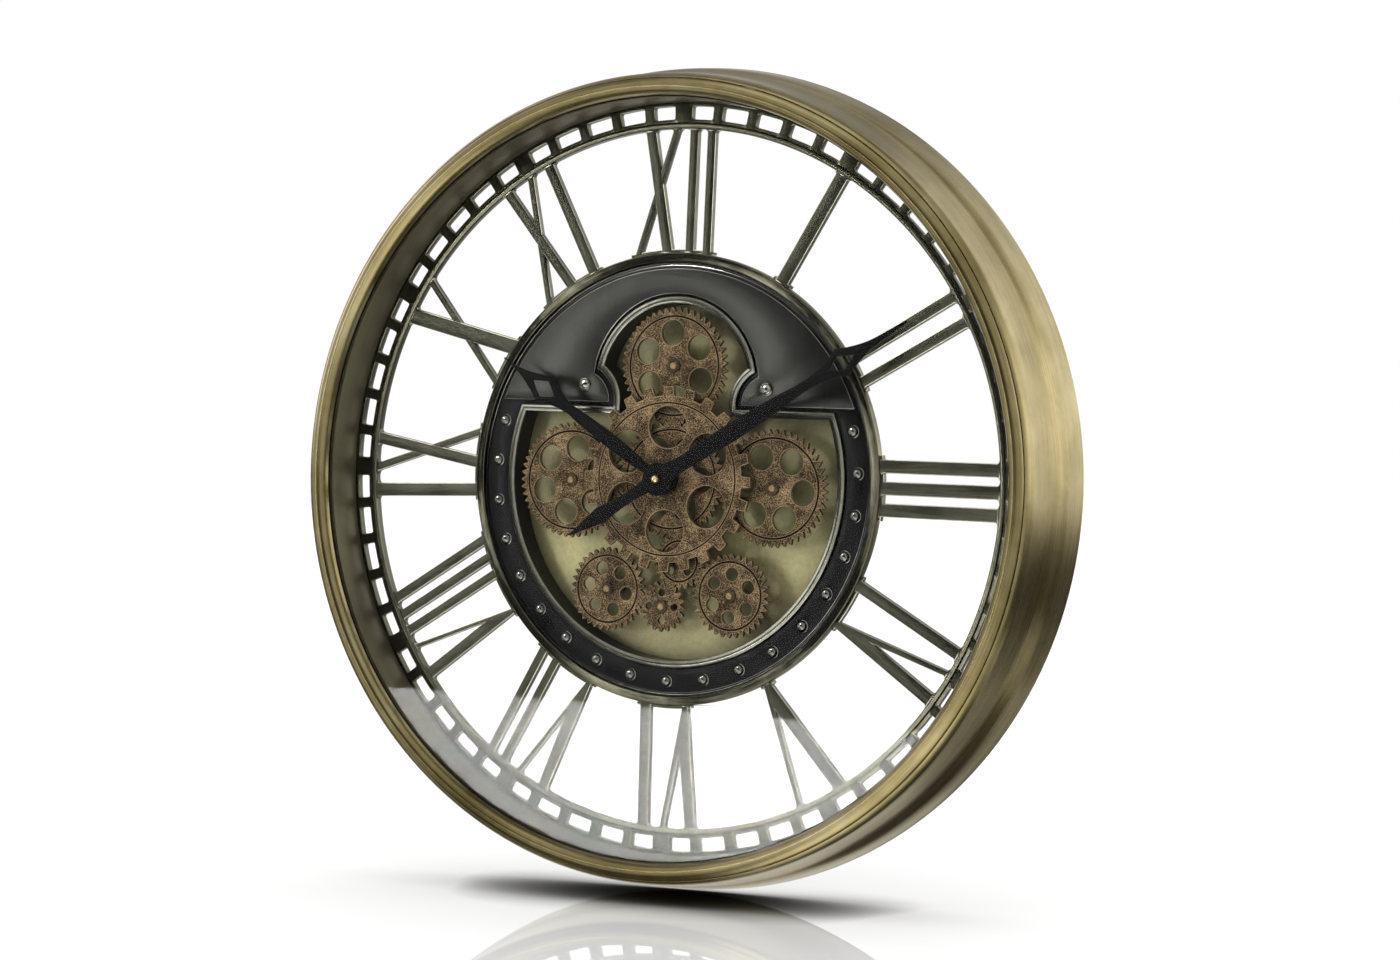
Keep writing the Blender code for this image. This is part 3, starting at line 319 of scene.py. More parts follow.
class Nodes:
    # A node tree and short ways to add to it.
    def __init__(self, owner):
        owner.use_nodes = True
        self.tree = owner.node_tree

    def node(self, kind, *inputs, **props):
        item = self.tree.nodes.new(kind)
        for key, value in props.items():
            setattr(item, key, value)
        for socket, value in zip(item.inputs, inputs):
            self.feed(socket, value)
        return item

    def feed(self, socket, value):
        if value is None:
            return
        if isinstance(value, bpy.types.NodeSocket):
            self.tree.links.new(value, socket)
        else:
            socket.default_value = value

    def math(self, operation, a, b=None, c=None):
        return self.node("ShaderNodeMath", a, b, c, operation=operation).outputs[0]

    def plus(self, a, b):
        return self.math("ADD", a, b)

    def times(self, a, b):
        return self.math("MULTIPLY", a, b)

    def vector(self, operation, a, b=None):
        return self.node("ShaderNodeVectorMath", a, b, operation=operation).outputs[0]

    def combine(self, x, y, z):
        return self.node("ShaderNodeCombineXYZ", x, y, z).outputs[0]

    def noise(self, vector, scale, detail=3.0, rough=0.5, distortion=0.0, w=None):
        item = self.tree.nodes.new("ShaderNodeTexNoise")
        item.noise_dimensions = "3D" if w is None else "4D"
        self.feed(item.inputs["Vector"], vector)
        self.feed(item.inputs["Scale"], scale)
        self.feed(item.inputs["Detail"], detail)
        self.feed(item.inputs["Roughness"], rough)
        self.feed(item.inputs["Distortion"], distortion)
        if w is not None:
            self.feed(item.inputs["W"], w)
        return item.outputs[0]

    def ramp(self, factor, *stops):
        item = self.node("ShaderNodeValToRGB", factor)
        ramp = item.color_ramp
        while len(ramp.elements) < len(stops):
            ramp.elements.new(0.5)
        for element, (position, colour) in zip(ramp.elements, stops):
            element.position = position
            element.color = colour
        return item.outputs[0]

    def mix(self, factor, a, b):
        item = self.tree.nodes.new("ShaderNodeMix")
        item.data_type = "RGBA"
        for index, value in ((0, factor), (6, a), (7, b)):
            self.feed(item.inputs[index], value)
        return item.outputs[2]

    def fit(self, value, low, high, new_low, new_high):
        return self.node("ShaderNodeMapRange", value, low, high, new_low, new_high).outputs[0]

    def shaders(self, factor, first, second):
        return self.node("ShaderNodeMixShader", factor, first, second).outputs[0]


class Bare(Nodes):
    # A material of bare shaders, for the glass, the floor and the cards.
    def __init__(self, name):
        self.mat = bpy.data.materials.new(name)
        super().__init__(self.mat)
        self.tree.nodes.clear()

    def surface(self, shader):
        self.node("ShaderNodeOutputMaterial", shader)
        return self.mat


class Paint(Nodes):
    # A Principled material whose patterns lie in the object's own place.
    def __init__(self, name, metallic=1.0, roughness=0.4, specular=0.5, coat=0.0, coat_roughness=0.1):
        self.mat = bpy.data.materials.new(name)
        super().__init__(self.mat)
        self.shader = self.tree.nodes["Principled BSDF"]
        constants = {
            "Metallic": metallic, "Roughness": roughness, "Specular IOR Level": specular, "Coat Weight": coat,
            "Coat Roughness": coat_roughness,
        }
        for socket, value in constants.items():
            self.shader.inputs[socket].default_value = value
        self.place = self.node("ShaderNodeTexCoord").outputs["Object"]
        self.axes = self.node("ShaderNodeSeparateXYZ", self.place).outputs

    def wear(self):
        item = self.node("ShaderNodeAttribute", attribute_name="wear")
        return item.outputs["Fac"]

    def painted_shade(self, distance, darkest):
        # Painted shade: 1 on open faces, less in corners and close behind other pieces, where shade falls.
        open_sky = self.node("ShaderNodeAmbientOcclusion", None, distance, samples=4).outputs["AO"]
        return self.fit(open_sky, 0.35, 0.95, darkest, 1.0)

    def dimmed(self, colour, factor):
        return self.mix(factor, (0.0, 0.0, 0.0, 1.0), colour)

    def about_axis(self, turning, outward):
        # Noise about the clock's axis, with its scale round the axis and out of
        # it: rings where the second is larger, spokes where the first is.
        flat = self.combine(self.axes[0], 0.0, self.axes[2])
        radius = self.node("ShaderNodeVectorMath", flat, operation="LENGTH").outputs["Value"]
        unit = self.vector("NORMALIZE", flat)
        unit = self.vector("MULTIPLY", unit, (turning, turning, turning))
        parts = self.node("ShaderNodeSeparateXYZ", unit).outputs
        point = self.combine(parts[0], self.times(radius, outward), parts[2])
        return self.noise(point, 1.0, 3.0, 0.6, 0.0, self.times(self.axes[1], outward))

    def stretched(self, across, deep, up):
        return self.noise(self.vector("MULTIPLY", self.place, (across, deep, up)), 1.0, 3.0, 0.6)

    def colour(self, value):
        self.feed(self.shader.inputs["Base Color"], value)

    def rough(self, value):
        self.feed(self.shader.inputs["Roughness"], value)

    def bump(self, height, strength, distance):
        item = self.tree.nodes.new("ShaderNodeBump")
        item.inputs["Strength"].default_value = strength
        item.inputs["Distance"].default_value = distance
        self.feed(item.inputs["Height"], height)
        self.tree.links.new(item.outputs[0], self.shader.inputs["Normal"])


def brushed_brass(name, dark, middle, light, roughness, coat=0.0, metallic=1.0):
    dark, middle, light = linear(dark, middle, light)
    p = Paint(name, metallic, coat=coat, coat_roughness=0.16)
    p.shader.inputs["Specular Tint"].default_value = (0.98, 0.94, 0.83, 1.0)
    fine = p.about_axis(5.0, 2400.0)
    bands = p.about_axis(1.2, 90.0)
    patches = p.noise(p.place, 9.0, 5.0, 0.62)
    tone = p.plus(p.times(bands, 0.35), p.times(patches, 0.65))
    tone = p.plus(tone, p.times(p.math("SUBTRACT", fine, 0.5), 0.3))
    base = p.ramp(tone, (0.30, dark), (0.50, middle), (0.72, light))
    stain = p.fit(p.noise(p.place, 60.0, 6.0, 0.7), 0.56, 0.74, 0.0, 0.35)
    base = p.mix(stain, base, dark)
    p.colour(p.mix(p.times(p.wear(), 0.6), base, light))
    p.rough(p.fit(p.plus(fine, p.times(patches, 0.4)), 0.4, 1.0, *roughness))
    p.bump(fine, 0.05, 0.0002)
    return p.mat


def gunmetal(name, dark, middle, edge, direction, roughness=(0.30, 0.46), relief=0.10):
    dark, middle, edge = linear(dark, middle, edge)
    p = Paint(name, 1.0)
    if direction == "around":
        fine = p.about_axis(7.0, 1800.0)
    elif direction == "spokes":
        fine = p.about_axis(320.0, 22.0)
    elif direction == "up":
        fine = p.stretched(2200.0, 60.0, 14.0)
    else:
        fine = p.stretched(14.0, 60.0, 2200.0)
    patches = p.noise(p.place, 22.0, 5.0, 0.6)
    tone = p.plus(p.times(fine, 0.55), p.times(patches, 0.45))
    base = p.ramp(tone, (0.34, dark), (0.64, middle))
    rub = p.times(p.wear(), p.fit(p.noise(p.place, 130.0, 4.0, 0.6), 0.25, 0.6, 0.55, 1.0))
    # The colour is darkened by painted shade in corners and close behind other pieces.
    p.colour(p.dimmed(p.mix(rub, base, edge), p.painted_shade(0.0022, 0.3)))
    dull = p.fit(p.plus(fine, patches), 0.7, 1.3, *roughness)
    p.rough(p.times(dull, p.fit(p.wear(), 0.0, 0.5, 1.0, 0.5)))
    p.bump(fine, relief, 0.0002)
    return p.mat


def cast_copper(name, dark, middle, light):
    dark, middle, light = linear(dark, middle, light)
    p = Paint(name, 0.75)
    grain = p.noise(p.place, 1150.0, 5.0, 0.7)
    speckle = p.noise(p.place, 2200.0, 3.0, 0.6)
    patches = p.noise(p.place, 60.0, 5.0, 0.65)
    tone = p.plus(p.times(grain, 0.7), p.times(patches, 0.3))
    base = p.ramp(tone, (0.41, dark), (0.50, middle), (0.58, light))
    rust = p.fit(speckle, 0.52, 0.62, 0.0, 0.8)
    base = p.mix(rust, base, dark)
    rub = p.times(p.wear(), p.fit(grain, 0.3, 0.55, 0.35, 1.0))
    # Painted shade: faces marked below 0, the gear's groove and the post below its head, are darkened, and so
    # are corners.
    painted_recess_shade = p.fit(p.wear(), -1.0, 0.0, 0.1, 1.0)
    p.colour(p.dimmed(p.mix(rub, base, light), p.times(painted_recess_shade, p.painted_shade(0.005, 0.1))))
    p.rough(p.fit(grain, 0.3, 0.7, 0.42, 0.72))
    p.bump(p.plus(grain, p.times(speckle, 0.6)), 0.45, 0.0005)
    return p.mat


def coated(name, colour, second, roughness=0.45, metallic=0.0, scale=500.0, bump=0.12, specular=0.5,
           shade=0.002):
    colour, second = linear(colour, second)
    p = Paint(name, metallic, roughness, specular)
    grain = p.noise(p.place, scale, 4.0, 0.6)
    broad = p.noise(p.place, 18.0, 4.0, 0.6)
    tone = p.plus(p.times(grain, 0.5), p.times(broad, 0.5))
    base = p.ramp(tone, (0.36, colour), (0.66, second))
    base = p.mix(p.times(p.wear(), 0.35), base, second)
    # Painted shade darkens the colour in corners and close behind other pieces; shade sets how far it
    # reaches.
    p.colour(p.dimmed(base, p.painted_shade(shade, 0.12)))
    p.rough(p.fit(tone, 0.3, 0.7, roughness - 0.07, roughness + 0.08))
    p.bump(grain, bump, 0.0002)
    return p.mat


BRASS = brushed_brass("antique_brass", (84, 73, 38), (128, 116, 78), (168, 157, 121), (0.24, 0.34), 0.15)
BRONZE = brushed_brass("blackened_bronze", (62, 58, 40), (92, 87, 64), (120, 112, 84), (0.42, 0.55),
                       metallic=0.5)
RIM_METAL = brushed_brass("olive_brass", (12, 12, 9), (24, 23, 18), (166, 162, 136), (0.24, 0.36))
NUT = brushed_brass("bright_brass", (176, 140, 84), (212, 178, 116), (240, 214, 160), (0.18, 0.3))
TRACK_METAL = gunmetal("olive_gunmetal", (40, 40, 31), (78, 77, 62), (160, 157, 134), "around")
STROKE_METAL = gunmetal("brushed_gunmetal", (34, 34, 28), (92, 91, 78), (190, 187, 166), "spokes")
HUB_METAL = gunmetal("black_gunmetal", (19, 19, 20), (36, 36, 36), (150, 150, 142), "around", (0.26, 0.38))
ARCH_METAL = gunmetal("arch_gunmetal", (48, 48, 46), (66, 66, 63), (136, 135, 126), "up", (0.27, 0.34), 0.04)
MOULD_METAL = gunmetal("moulding_gunmetal", (36, 36, 34), (64, 64, 58), (140, 139, 126), "around")
STEEL = gunmetal("zinc_steel", (70, 70, 64), (118, 118, 110), (200, 198, 188), "across")
COPPER = cast_copper("rubbed_copper", (26, 19, 12), (88, 69, 46), (200, 172, 130))
PIN = cast_copper("bronze_pin", (84, 64, 42), (140, 114, 80), (204, 176, 132))
# The khaki's painted shade reaches far, to darken the plate around and behind the gears.
KHAKI = coated("khaki_satin", (186, 178, 122), (220, 212, 160), 0.42, 0.45, 240.0, 0.05, shade=0.027)
BLACK = coated("black_paint", (7, 7, 7), (12, 12, 12), 0.42, 0.0, 900.0, 0.10, 0.08)
PLASTIC = coated("black_plastic", (24, 24, 26), (36, 36, 38), 0.5, 0.0, 1400.0, 0.22, 0.4)
RUBBER = coated("black_rubber", (8, 8, 8), (14, 14, 14), 0.7, 0.0, 700.0, 0.15, 0.15)
ENAMEL = coated("black_enamel", (20, 21, 22), (32, 33, 34), 0.42, 0.2, 500.0, 0.12, 0.4)


def battery_wrap():
    p = Paint("battery_wrap", 0.0, 0.3, 0.5, 0.4)
    dark, light, cap = linear((40, 43, 48), (56, 60, 66), (176, 130, 66))
    grain = p.noise(p.place, 300.0, 3.0, 0.5)
    body = p.ramp(grain, (0.3, dark), (0.7, light))
    p.colour(p.mix(p.wear(), body, cap))
    p.rough(p.fit(grain, 0.3, 0.7, 0.24, 0.36))
    return p.mat


WRAP = battery_wrap()


def clear_glass():
    # Clear from the front, with a sharp gloss that grows towards the edge.
    p = Bare("clear_glass")
    place = p.node("ShaderNodeTexCoord").outputs["Object"]
    smudge = p.fit(p.noise(place, 14.0, 5.0), 0.0, 1.0, 0.85, 1.1)
    facing = p.node("ShaderNodeLayerWeight", 0.5).outputs["Facing"]
    glare = p.fit(p.math("POWER", facing, 6.0), 0.0, 1.0, 0.002, 0.55)
    through = p.node("ShaderNodeBsdfTransparent", (0.998, 1.0, 0.998, 1.0)).outputs[0]
    gloss = p.node("ShaderNodeBsdfGlossy", (1.0, 1.0, 1.0, 1.0), 0.0).outputs[0]
    return p.surface(p.shaders(p.times(glare, smudge), through, gloss))


GLASS = clear_glass()


# Case
BEZEL_SEAT, GLASS_SEAT = 31.1, 34.9
SEAL_BACK, SEAL_FRONT, SEAL_WIDTH = 33.9, 34.7, 5.3
WALL_INNER, WALL_OUTER, WALL_FRONT = 271.6, 273.6, 30.7
LIP_BACK = 29.2
UNRUBBED = edges_rubbed(0.0, 0.0, 0.0)

# The drum's side from front to back, and its inside from back to front: how
# far inside the full radius, and depth.
DRUM_SIDE = (
    (15.4, 38.9), (15.1, 39.3), (14.5, 39.2), (13.0, 37.2), (11.7, 34.2), (11.0, 30.6), (10.2, 22.0),
    (9.2, 13.0), (8.1, 5.0), (6.7, -1.0), (5.0, -5.6), (3.6, -10.4), (2.6, -16.0), (1.7, -23.0), (0.9, -31.0),
)
DRUM_INSIDE = ((5.0, -12.0), (9.6, 0.0), (12.8, 28.6), (15.4, 28.6))


def bezel():
    crest = curve_through([
        (SEAL - 4.5, PANE_FRONT + 2.7), (SEAL - 3.8, PANE_FRONT + 5.9), (SEAL - 2.0, BEZEL_FRONT - 1.4),
        (SEAL + 1.0, BEZEL_FRONT), (SEAL + 4.0, BEZEL_FRONT - 0.7), (BEZEL - 1.1, BEZEL_FRONT - 2.2),
        (BEZEL + 0.1, BEZEL_FRONT - 3.9), (BEZEL + 0.2, BEZEL_FRONT - 4.6),
    ], 4)
    rebate = [
        (BEZEL + 0.2, BEZEL_SEAT), (SEAL + 0.5, BEZEL_SEAT), (SEAL + 0.5, GLASS_SEAT),
        (SEAL - 4.6, GLASS_SEAT),
    ]
    begin()
    turned(crest + rebate, RING_STEPS)
    finish("bezel_ring", BRASS, "clock_frame", "front_bezel", "antique_brass", UNRUBBED)


def glass():
    ring = [
        (SEAL, SEAL_FRONT), (SEAL, SEAL_BACK), (SEAL - SEAL_WIDTH, SEAL_BACK),
        (SEAL - SEAL_WIDTH, SEAL_FRONT),
    ]
    begin()
    turned(softened(ring, 0.25, 2), RING_STEPS)
    finish("glass_seal", RUBBER, "clock_frame", "glass_gasket", "black_rubber")
    begin()
    edge = [
        (0.0, PANE_FRONT), (PANE - 0.5, PANE_FRONT), (PANE, PANE_FRONT - 0.5), (PANE, PANE_BACK + 0.4),
        (PANE - 0.4, PANE_BACK), (0.0, PANE_BACK),
    ]
    turned(edge, RING_STEPS, closed=False)
    finish("glass_disc", GLASS, "clock_frame", "glass_pane", "clear_glass")


def inner_wall():
    section = [
        (SLEEVE, WALL_FRONT), (SLEEVE, LIP_BACK), (WALL_OUTER, LIP_BACK), (WALL_OUTER, TRACK_BACK),
        (WALL_INNER, TRACK_BACK), (WALL_INNER, WALL_FRONT),
    ]
    begin()
    turned(softened(section, 0.4, 2), RING_STEPS)
    finish("inner_wall", BRONZE, "clock_frame", "inner_sleeve", "blackened_bronze", UNRUBBED)


def drum():
    side = [(CASE - inward, depth) for inward, depth in DRUM_SIDE] + [(CASE - 0.3, CASE_BACK + 1.8)]
    rear = [
        (CASE - 0.6, CASE_BACK + 0.4), (CASE - 1.6, CASE_BACK), (CASE - 9.8, CASE_BACK),
        (CASE - 10.3, CASE_BACK + 0.3), (CASE - 10.3, CASE_BACK + 1.1), (CASE - 9.8, CASE_BACK + 1.5),
        (CASE - 3.1, CASE_BACK + 1.5), (CASE - 2.5, CASE_BACK + 2.1),
    ]
    inside = [(CASE - inward, depth) for inward, depth in DRUM_INSIDE]
    begin()
    turned(curve_through(side, 4) + rear + inside, RING_STEPS)
    finish("drum_case", BRASS, "clock_frame", "case_shell", "antique_brass", UNRUBBED)


# Minute track
TRACK_INNER = 252.3
WINDOW_INNER, WINDOW_OUTER = 258.9, 268.4
WINDOW_CORNER = 1.3
BAR, HOUR_BAR = 1.65, 3.0


def track_window(near, far):
    # One window between two clock angles, with its four corners rounded.
    points = []
    for outer, forward in ((True, True), (True, False), (False, False), (False, True)):
        radius = WINDOW_OUTER if outer else WINDOW_INNER
        corner = math.degrees(WINDOW_CORNER / radius)
        inward = -1 if outer else 1
        rounding = []
        for k in range(4):
            a = math.pi / 2 * k / 3
            r = radius + inward * WINDOW_CORNER * (1 - math.sin(a))
            angle = near + corner * (1 - math.cos(a)) if forward else far - corner * (1 - math.cos(a))
            rounding.append(polar(r, angle))
        points += rounding if outer == forward else rounding[::-1]
        if not forward and outer or forward and not outer:
            continue
        first, last = (near, far) if outer else (far, near)
        points += [polar(radius, first + (last - first) * k / 4) for k in (1, 2, 3)]
    return points


def track_windows(depth):
    for minute in range(5):
        before = HOUR_BAR if minute == 0 else BAR
        after = HOUR_BAR if minute == 4 else BAR
        loop_of(track_window(6.0 * minute + before / 2, 6.0 * minute + 6.0 - after / 2))(depth)
    bpy.ops.mesh.select_all(action="SELECT")
    repeat(12, depth)


def minute_track():
    begin()
    rings = [circle_of(TRACK, TRACK_STEPS), circle_of(TRACK_INNER, TRACK_STEPS)]
    slab([track_windows] + rings, TRACK_BACK, 0.0, 0.35)
    bead = curve_through([
        (TRACK_INNER, -0.5), (TRACK_INNER + 0.2, 0.5), (TRACK_INNER + 1.1, 1.1), (TRACK_INNER + 2.4, 1.25),
        (TRACK_INNER + 3.7, 0.9), (TRACK_INNER + 4.5, -0.1),
    ], 3)
    turned(bead + [(TRACK_INNER + 4.5, -1.2), (TRACK_INNER, -1.2)], TRACK_STEPS)

    def wear_and_shade_rule(place, facing):
        if math.hypot(place[0], place[1]) < TRACK_INNER + 4.6 and place[2] > -0.3:
            return 0.4
        return edges_rubbed(0.0, 1.0, 0.1)(place, facing)
    finish("minute_track", TRACK_METAL, "clock_frame", "minute_ring", "olive_gunmetal", wear_and_shade_rule)


# Numerals
STROKE_INNER, STROKE_OUTER = HUB + 4.8, TRACK_INNER - 5.5
STROKE_ROOT, STROKE_END = HUB + 0.4, TRACK_INNER - 0.6
STROKE_BACK = -5.7
FLARE = 2.0

# A straight stroke runs from the hub to the track. It is given as it stands at
# twelve o'clock, by its place at the inner and outer radius and its width.
BARS = {
    1: ((0.0, 0.6, 10.0),),
    2: ((-8.5, -9.2, 8.4), (10.1, 10.5, 8.2)),
    3: ((-15.1, -15.2, 9.6), (0.2, 0.1, 9.6), (15.5, 15.7, 9.6)),
    4: ((-14.7, -15.3, 8.4),),
    6: ((16.0, 15.5, 8.5),),
    7: ((10.6, 9.0, 6.7), (23.7, 22.0, 6.9)),
    8: ((7.0, 3.7, 7.0), (20.2, 16.7, 7.1), (33.5, 30.2, 7.6)),
    9: ((-14.1, -17.1, 9.9), (7.4, 21.4, 8.8), (27.3, 1.4, 5.8)),
    10: ((11.3, -11.6, 11.6), (-15.5, 15.5, 5.0)),
    11: ((13.7, 17.2, 8.0), (-7.8, -21.3, 7.6), (-27.5, -1.5, 4.9)),
    12: ((7.8, 8.9, 6.5), (21.7, 22.9, 6.6), (-10.8, -25.5, 8.1), (-31.2, -6.7, 4.7)),
}

# A V has its four edges at the outer radius, the notch between its arms, and
# its two edges at the inner radius.
WEDGES = {
    4: ((-0.7, 3.5, 17.9, 27.4), (13.7, 195.2), (14.2, 20.5)),
    5: ((-19.2, -9.6, 16.3, 20.2), (4.0, 183.8), (-2.3, 5.2)),
    6: ((-26.6, -18.2, -3.4, 0.8), (-12.5, 199.1), (-18.7, -12.9)),
    7: ((-32.9, -24.5, -8.9, -4.7), (-17.0, 196.1), (-23.7, -17.8)),
    8: ((-37.1, -28.3, -12.3, -8.7), (-20.7, 190.5), (-26.9, -21.3)),
}


def on_edge(inner_x, outer_x, radius):
    # Where a straight edge of a stroke meets a circle about the middle.
    slope = (outer_x - inner_x) / (STROKE_OUTER - STROKE_INNER)
    y = radius
    for _ in range(5):
        x = inner_x + slope * (y - STROKE_INNER)
        y = math.sqrt(radius * radius - x * x)
    return (inner_x + slope * (y - STROKE_INNER), y)


def stroke_edge(inner_x, outer_x, side):
    # One edge of a stroke, flared where it meets the hub and the track.
    points = []
    for k in range(5):
        a = math.pi / 2 * k / 4
        x, y = on_edge(inner_x, outer_x, STROKE_ROOT + FLARE * (1 - math.cos(a)))
        points.append((x + side * FLARE * (1 - math.sin(a)), y))
    length = STROKE_END - STROKE_ROOT - 2 * FLARE
    for k in range(1, 6):
        points.append(on_edge(inner_x, outer_x, STROKE_ROOT + FLARE + length * k / 6))
    return points + head_flare(inner_x, outer_x, side)


def head_flare(inner_x, outer_x, side):
    points = []
    for k in range(5):
        a = math.pi / 2 * k / 4
        x, y = on_edge(inner_x, outer_x, STROKE_END - FLARE * (1 - math.sin(a)))
        points.append((x + side * FLARE * (1 - math.cos(a)), y))
    return points


def bar(inner_x, outer_x, width):
    half = width / 2 / math.cos(math.atan2(outer_x - inner_x, STROKE_OUTER - STROKE_INNER))
    left = stroke_edge(inner_x - half, outer_x - half, -1)
    right = stroke_edge(inner_x + half, outer_x + half, 1)
    return left + right[::-1]


def wedge(outer, notch, inner):
    inside = []
    for outer_x, side in ((outer[1], 1), (outer[2], -1)):
        slope = (outer_x - notch[0]) / (STROKE_OUTER - notch[1])
        length = STROKE_END - FLARE - notch[1]
        line = [(notch[0] + slope * length * k / 4, notch[1] + length * k / 4) for k in range(1, 4)]
        line += head_flare(notch[0] + slope * (STROKE_INNER - notch[1]), outer_x, side)
        inside.append(line)
    left = stroke_edge(inner[0], outer[0], -1)
    right = stroke_edge(inner[1], outer[3], 1)
    return left + inside[0][::-1] + [notch] + inside[1] + right[::-1]


def root_band(strokes, hour):
    # The narrow arc on the hub that carries the feet of a numeral.
    angles = []
    for points in strokes:
        angles += [math.degrees(math.atan2(x, y)) for x, y in (points[0], points[-1])]
    first, last = 30.0 * hour + min(angles) - 0.25, 30.0 * hour + max(angles) + 0.25
    sweep = [first + (last - first) * k / 12 for k in range(13)]
    return [polar(HUB + 2.4, a) for a in sweep] + [polar(HUB + 0.3, a) for a in sweep[::-1]]


def numeral(hour):
    strokes = [bar(*sizes) for sizes in BARS.get(hour, ())]
    if hour in WEDGES:
        strokes.append(wedge(*WEDGES[hour]))
    begin()
    for layer, points in enumerate(strokes):
        level = 0.06 * layer
        slab([loop_of(turned_points(points, 30.0 * hour))], STROKE_BACK + level, -0.02 - level, 0.55)
    slab([loop_of(root_band(strokes, hour))], STROKE_BACK + 0.1, -0.2, 0.5)
    finish("roman_%d" % hour, STROKE_METAL, "clock_frame", "numeral_%d" % hour, "olive_gunmetal",
           edges_rubbed(0.0, 1.0, 0.12))


# Hub
RIM_WIDTH, SHELF_WIDTH, SHELF_FRONT = 6.3, 12.3, -3.3


def hub_band():
    section = [
        (HUB - RIM_WIDTH, RIM_FRONT), (HUB - 0.7, RIM_FRONT), (HUB, RIM_FRONT - 1.1), (HUB, HUB_BACK),
        (HUB - SHELF_WIDTH, HUB_BACK), (HUB - SHELF_WIDTH, SHELF_FRONT), (HUB - RIM_WIDTH, SHELF_FRONT),
    ]
    begin()
    turned(softened(section, 0.6, 3), RING_STEPS)

    def wear_and_shade_rule(place, facing):
        return 0.9 if place[2] > 0.9 and facing < 0.97 else 0.0
    finish("hub_band", RIM_METAL, "clock_frame", "hub_rim", "olive_brass", wear_and_shade_rule)


ARCH_AT, ARCH_RADIUS = (0.0, 0.409 * HUB), 0.3656 * HUB
LOBE_AT, LOBE_RADIUS = (0.4648 * HUB, 0.3337 * HUB), 0.1953 * HUB
BOWL_RADIUS, BOWL_TOP = 0.802 * HUB, 0.2805 * HUB


def crossing(centre_a, radius_a, centre_b, radius_b):
    # Where two circles meet, to the left of the line between their centres.
    dx, dy = centre_b[0] - centre_a[0], centre_b[1] - centre_a[1]
    distance = math.hypot(dx, dy)
    along = (radius_a ** 2 - radius_b ** 2 + distance ** 2) / (2 * distance)
    across = math.sqrt(max(radius_a ** 2 - along ** 2, 0.0))
    ux, uy = dx / distance, dy / distance
    return (centre_a[0] + along * ux - across * uy, centre_a[1] + along * uy + across * ux)


def angle_of(centre, point):
    return math.degrees(math.atan2(point[1] - centre[1], point[0] - centre[0]))


def mirrored(half):
    return half + [(-x, y) for x, y in reversed(half[1:-1])]


def window_outline(out):
    # The keyhole window, grown by a distance: an arch over a bowl.
    arch, lobe, bowl, top = ARCH_RADIUS + out, LOBE_RADIUS - out, BOWL_RADIUS + out, BOWL_TOP + out
    cusp = crossing(ARCH_AT, arch, LOBE_AT, lobe)
    half = arc(ARCH_AT, arch, 90.0, angle_of(ARCH_AT, cusp), 24)
    foot = (LOBE_AT[0] - math.sqrt(lobe * lobe - (LOBE_AT[1] - top) ** 2), top)
    half += arc(LOBE_AT, lobe, angle_of(LOBE_AT, cusp), 360.0 + angle_of(LOBE_AT, foot), 10)[1:]
    corner = (math.sqrt(bowl * bowl - top * top), top)
    half += arc((0.0, 0.0), bowl, angle_of((0.0, 0.0), corner), -90.0, 44)
    return mirrored(half)


# The moulding's section: steps inward and forward, from its outer edge.
MOULD_WIDTH, MOULD_BACK = 5.5, -0.7
MOULD_STEPS = (
    (0.1, 1.3), (0.4, 0.6), (0.6, 0.25), (1.2, -0.35), (1.2, 0.0), (0.8, 0.3), (0.6, 0.05), (0.45, -0.35),
    (0.15, -0.8),
)


def window_moulding():
    begin()
    loop_of(window_outline(MOULD_WIDTH))(MOULD_BACK)
    weld()
    bpy.ops.mesh.edge_face_add()
    drawn = bmesh.from_edit_mesh(bpy.context.object.data)
    if next(iter(drawn.faces)).normal.y > 0.0:
        bpy.ops.mesh.flip_normals()
    for inward, rise in MOULD_STEPS:
        bpy.ops.mesh.inset(thickness=inward * MM, depth=rise * MM)
    bpy.ops.mesh.delete(type="ONLY_FACE")
    bpy.ops.mesh.select_mode(type="EDGE")
    bpy.ops.mesh.select_all(action="DESELECT")
    bpy.ops.mesh.select_non_manifold()
    bpy.ops.mesh.bridge_edge_loops()
    bpy.ops.mesh.select_mode(type="VERT")
    set_aside()
    slab([loop_of(window_outline(2.0)), loop_of(window_outline(0.0))], WALL_BACK, 0.3, 0.1, 1)

    def wear_and_shade_rule(place, facing):
        if place[2] < 0.2:
            return 0.0
        return 0.1 if facing > 0.9 and place[2] < 1.25 else 0.95
    finish("window_moulding", MOULD_METAL, "clock_frame", "window_frame", "black_gunmetal", wear_and_shade_rule)


PLATE_BACK, PLATE_FRONT = -3.0, -1.0
RIVETS, RIVET_STEP, RIVET_RING = 19, 11.7, 0.894 * HUB
RIVET_SEAT = -1.4

# Two rings round the plate: how far their edges lie inside the hub's, their
# front, and the rounding with its rows.
PLATE_RINGS = ((6.7, 8.1, PLATE_FRONT + 0.25, 0.3, 2), (7.7, 13.3, PLATE_FRONT - 1.0, 0.1, 1))


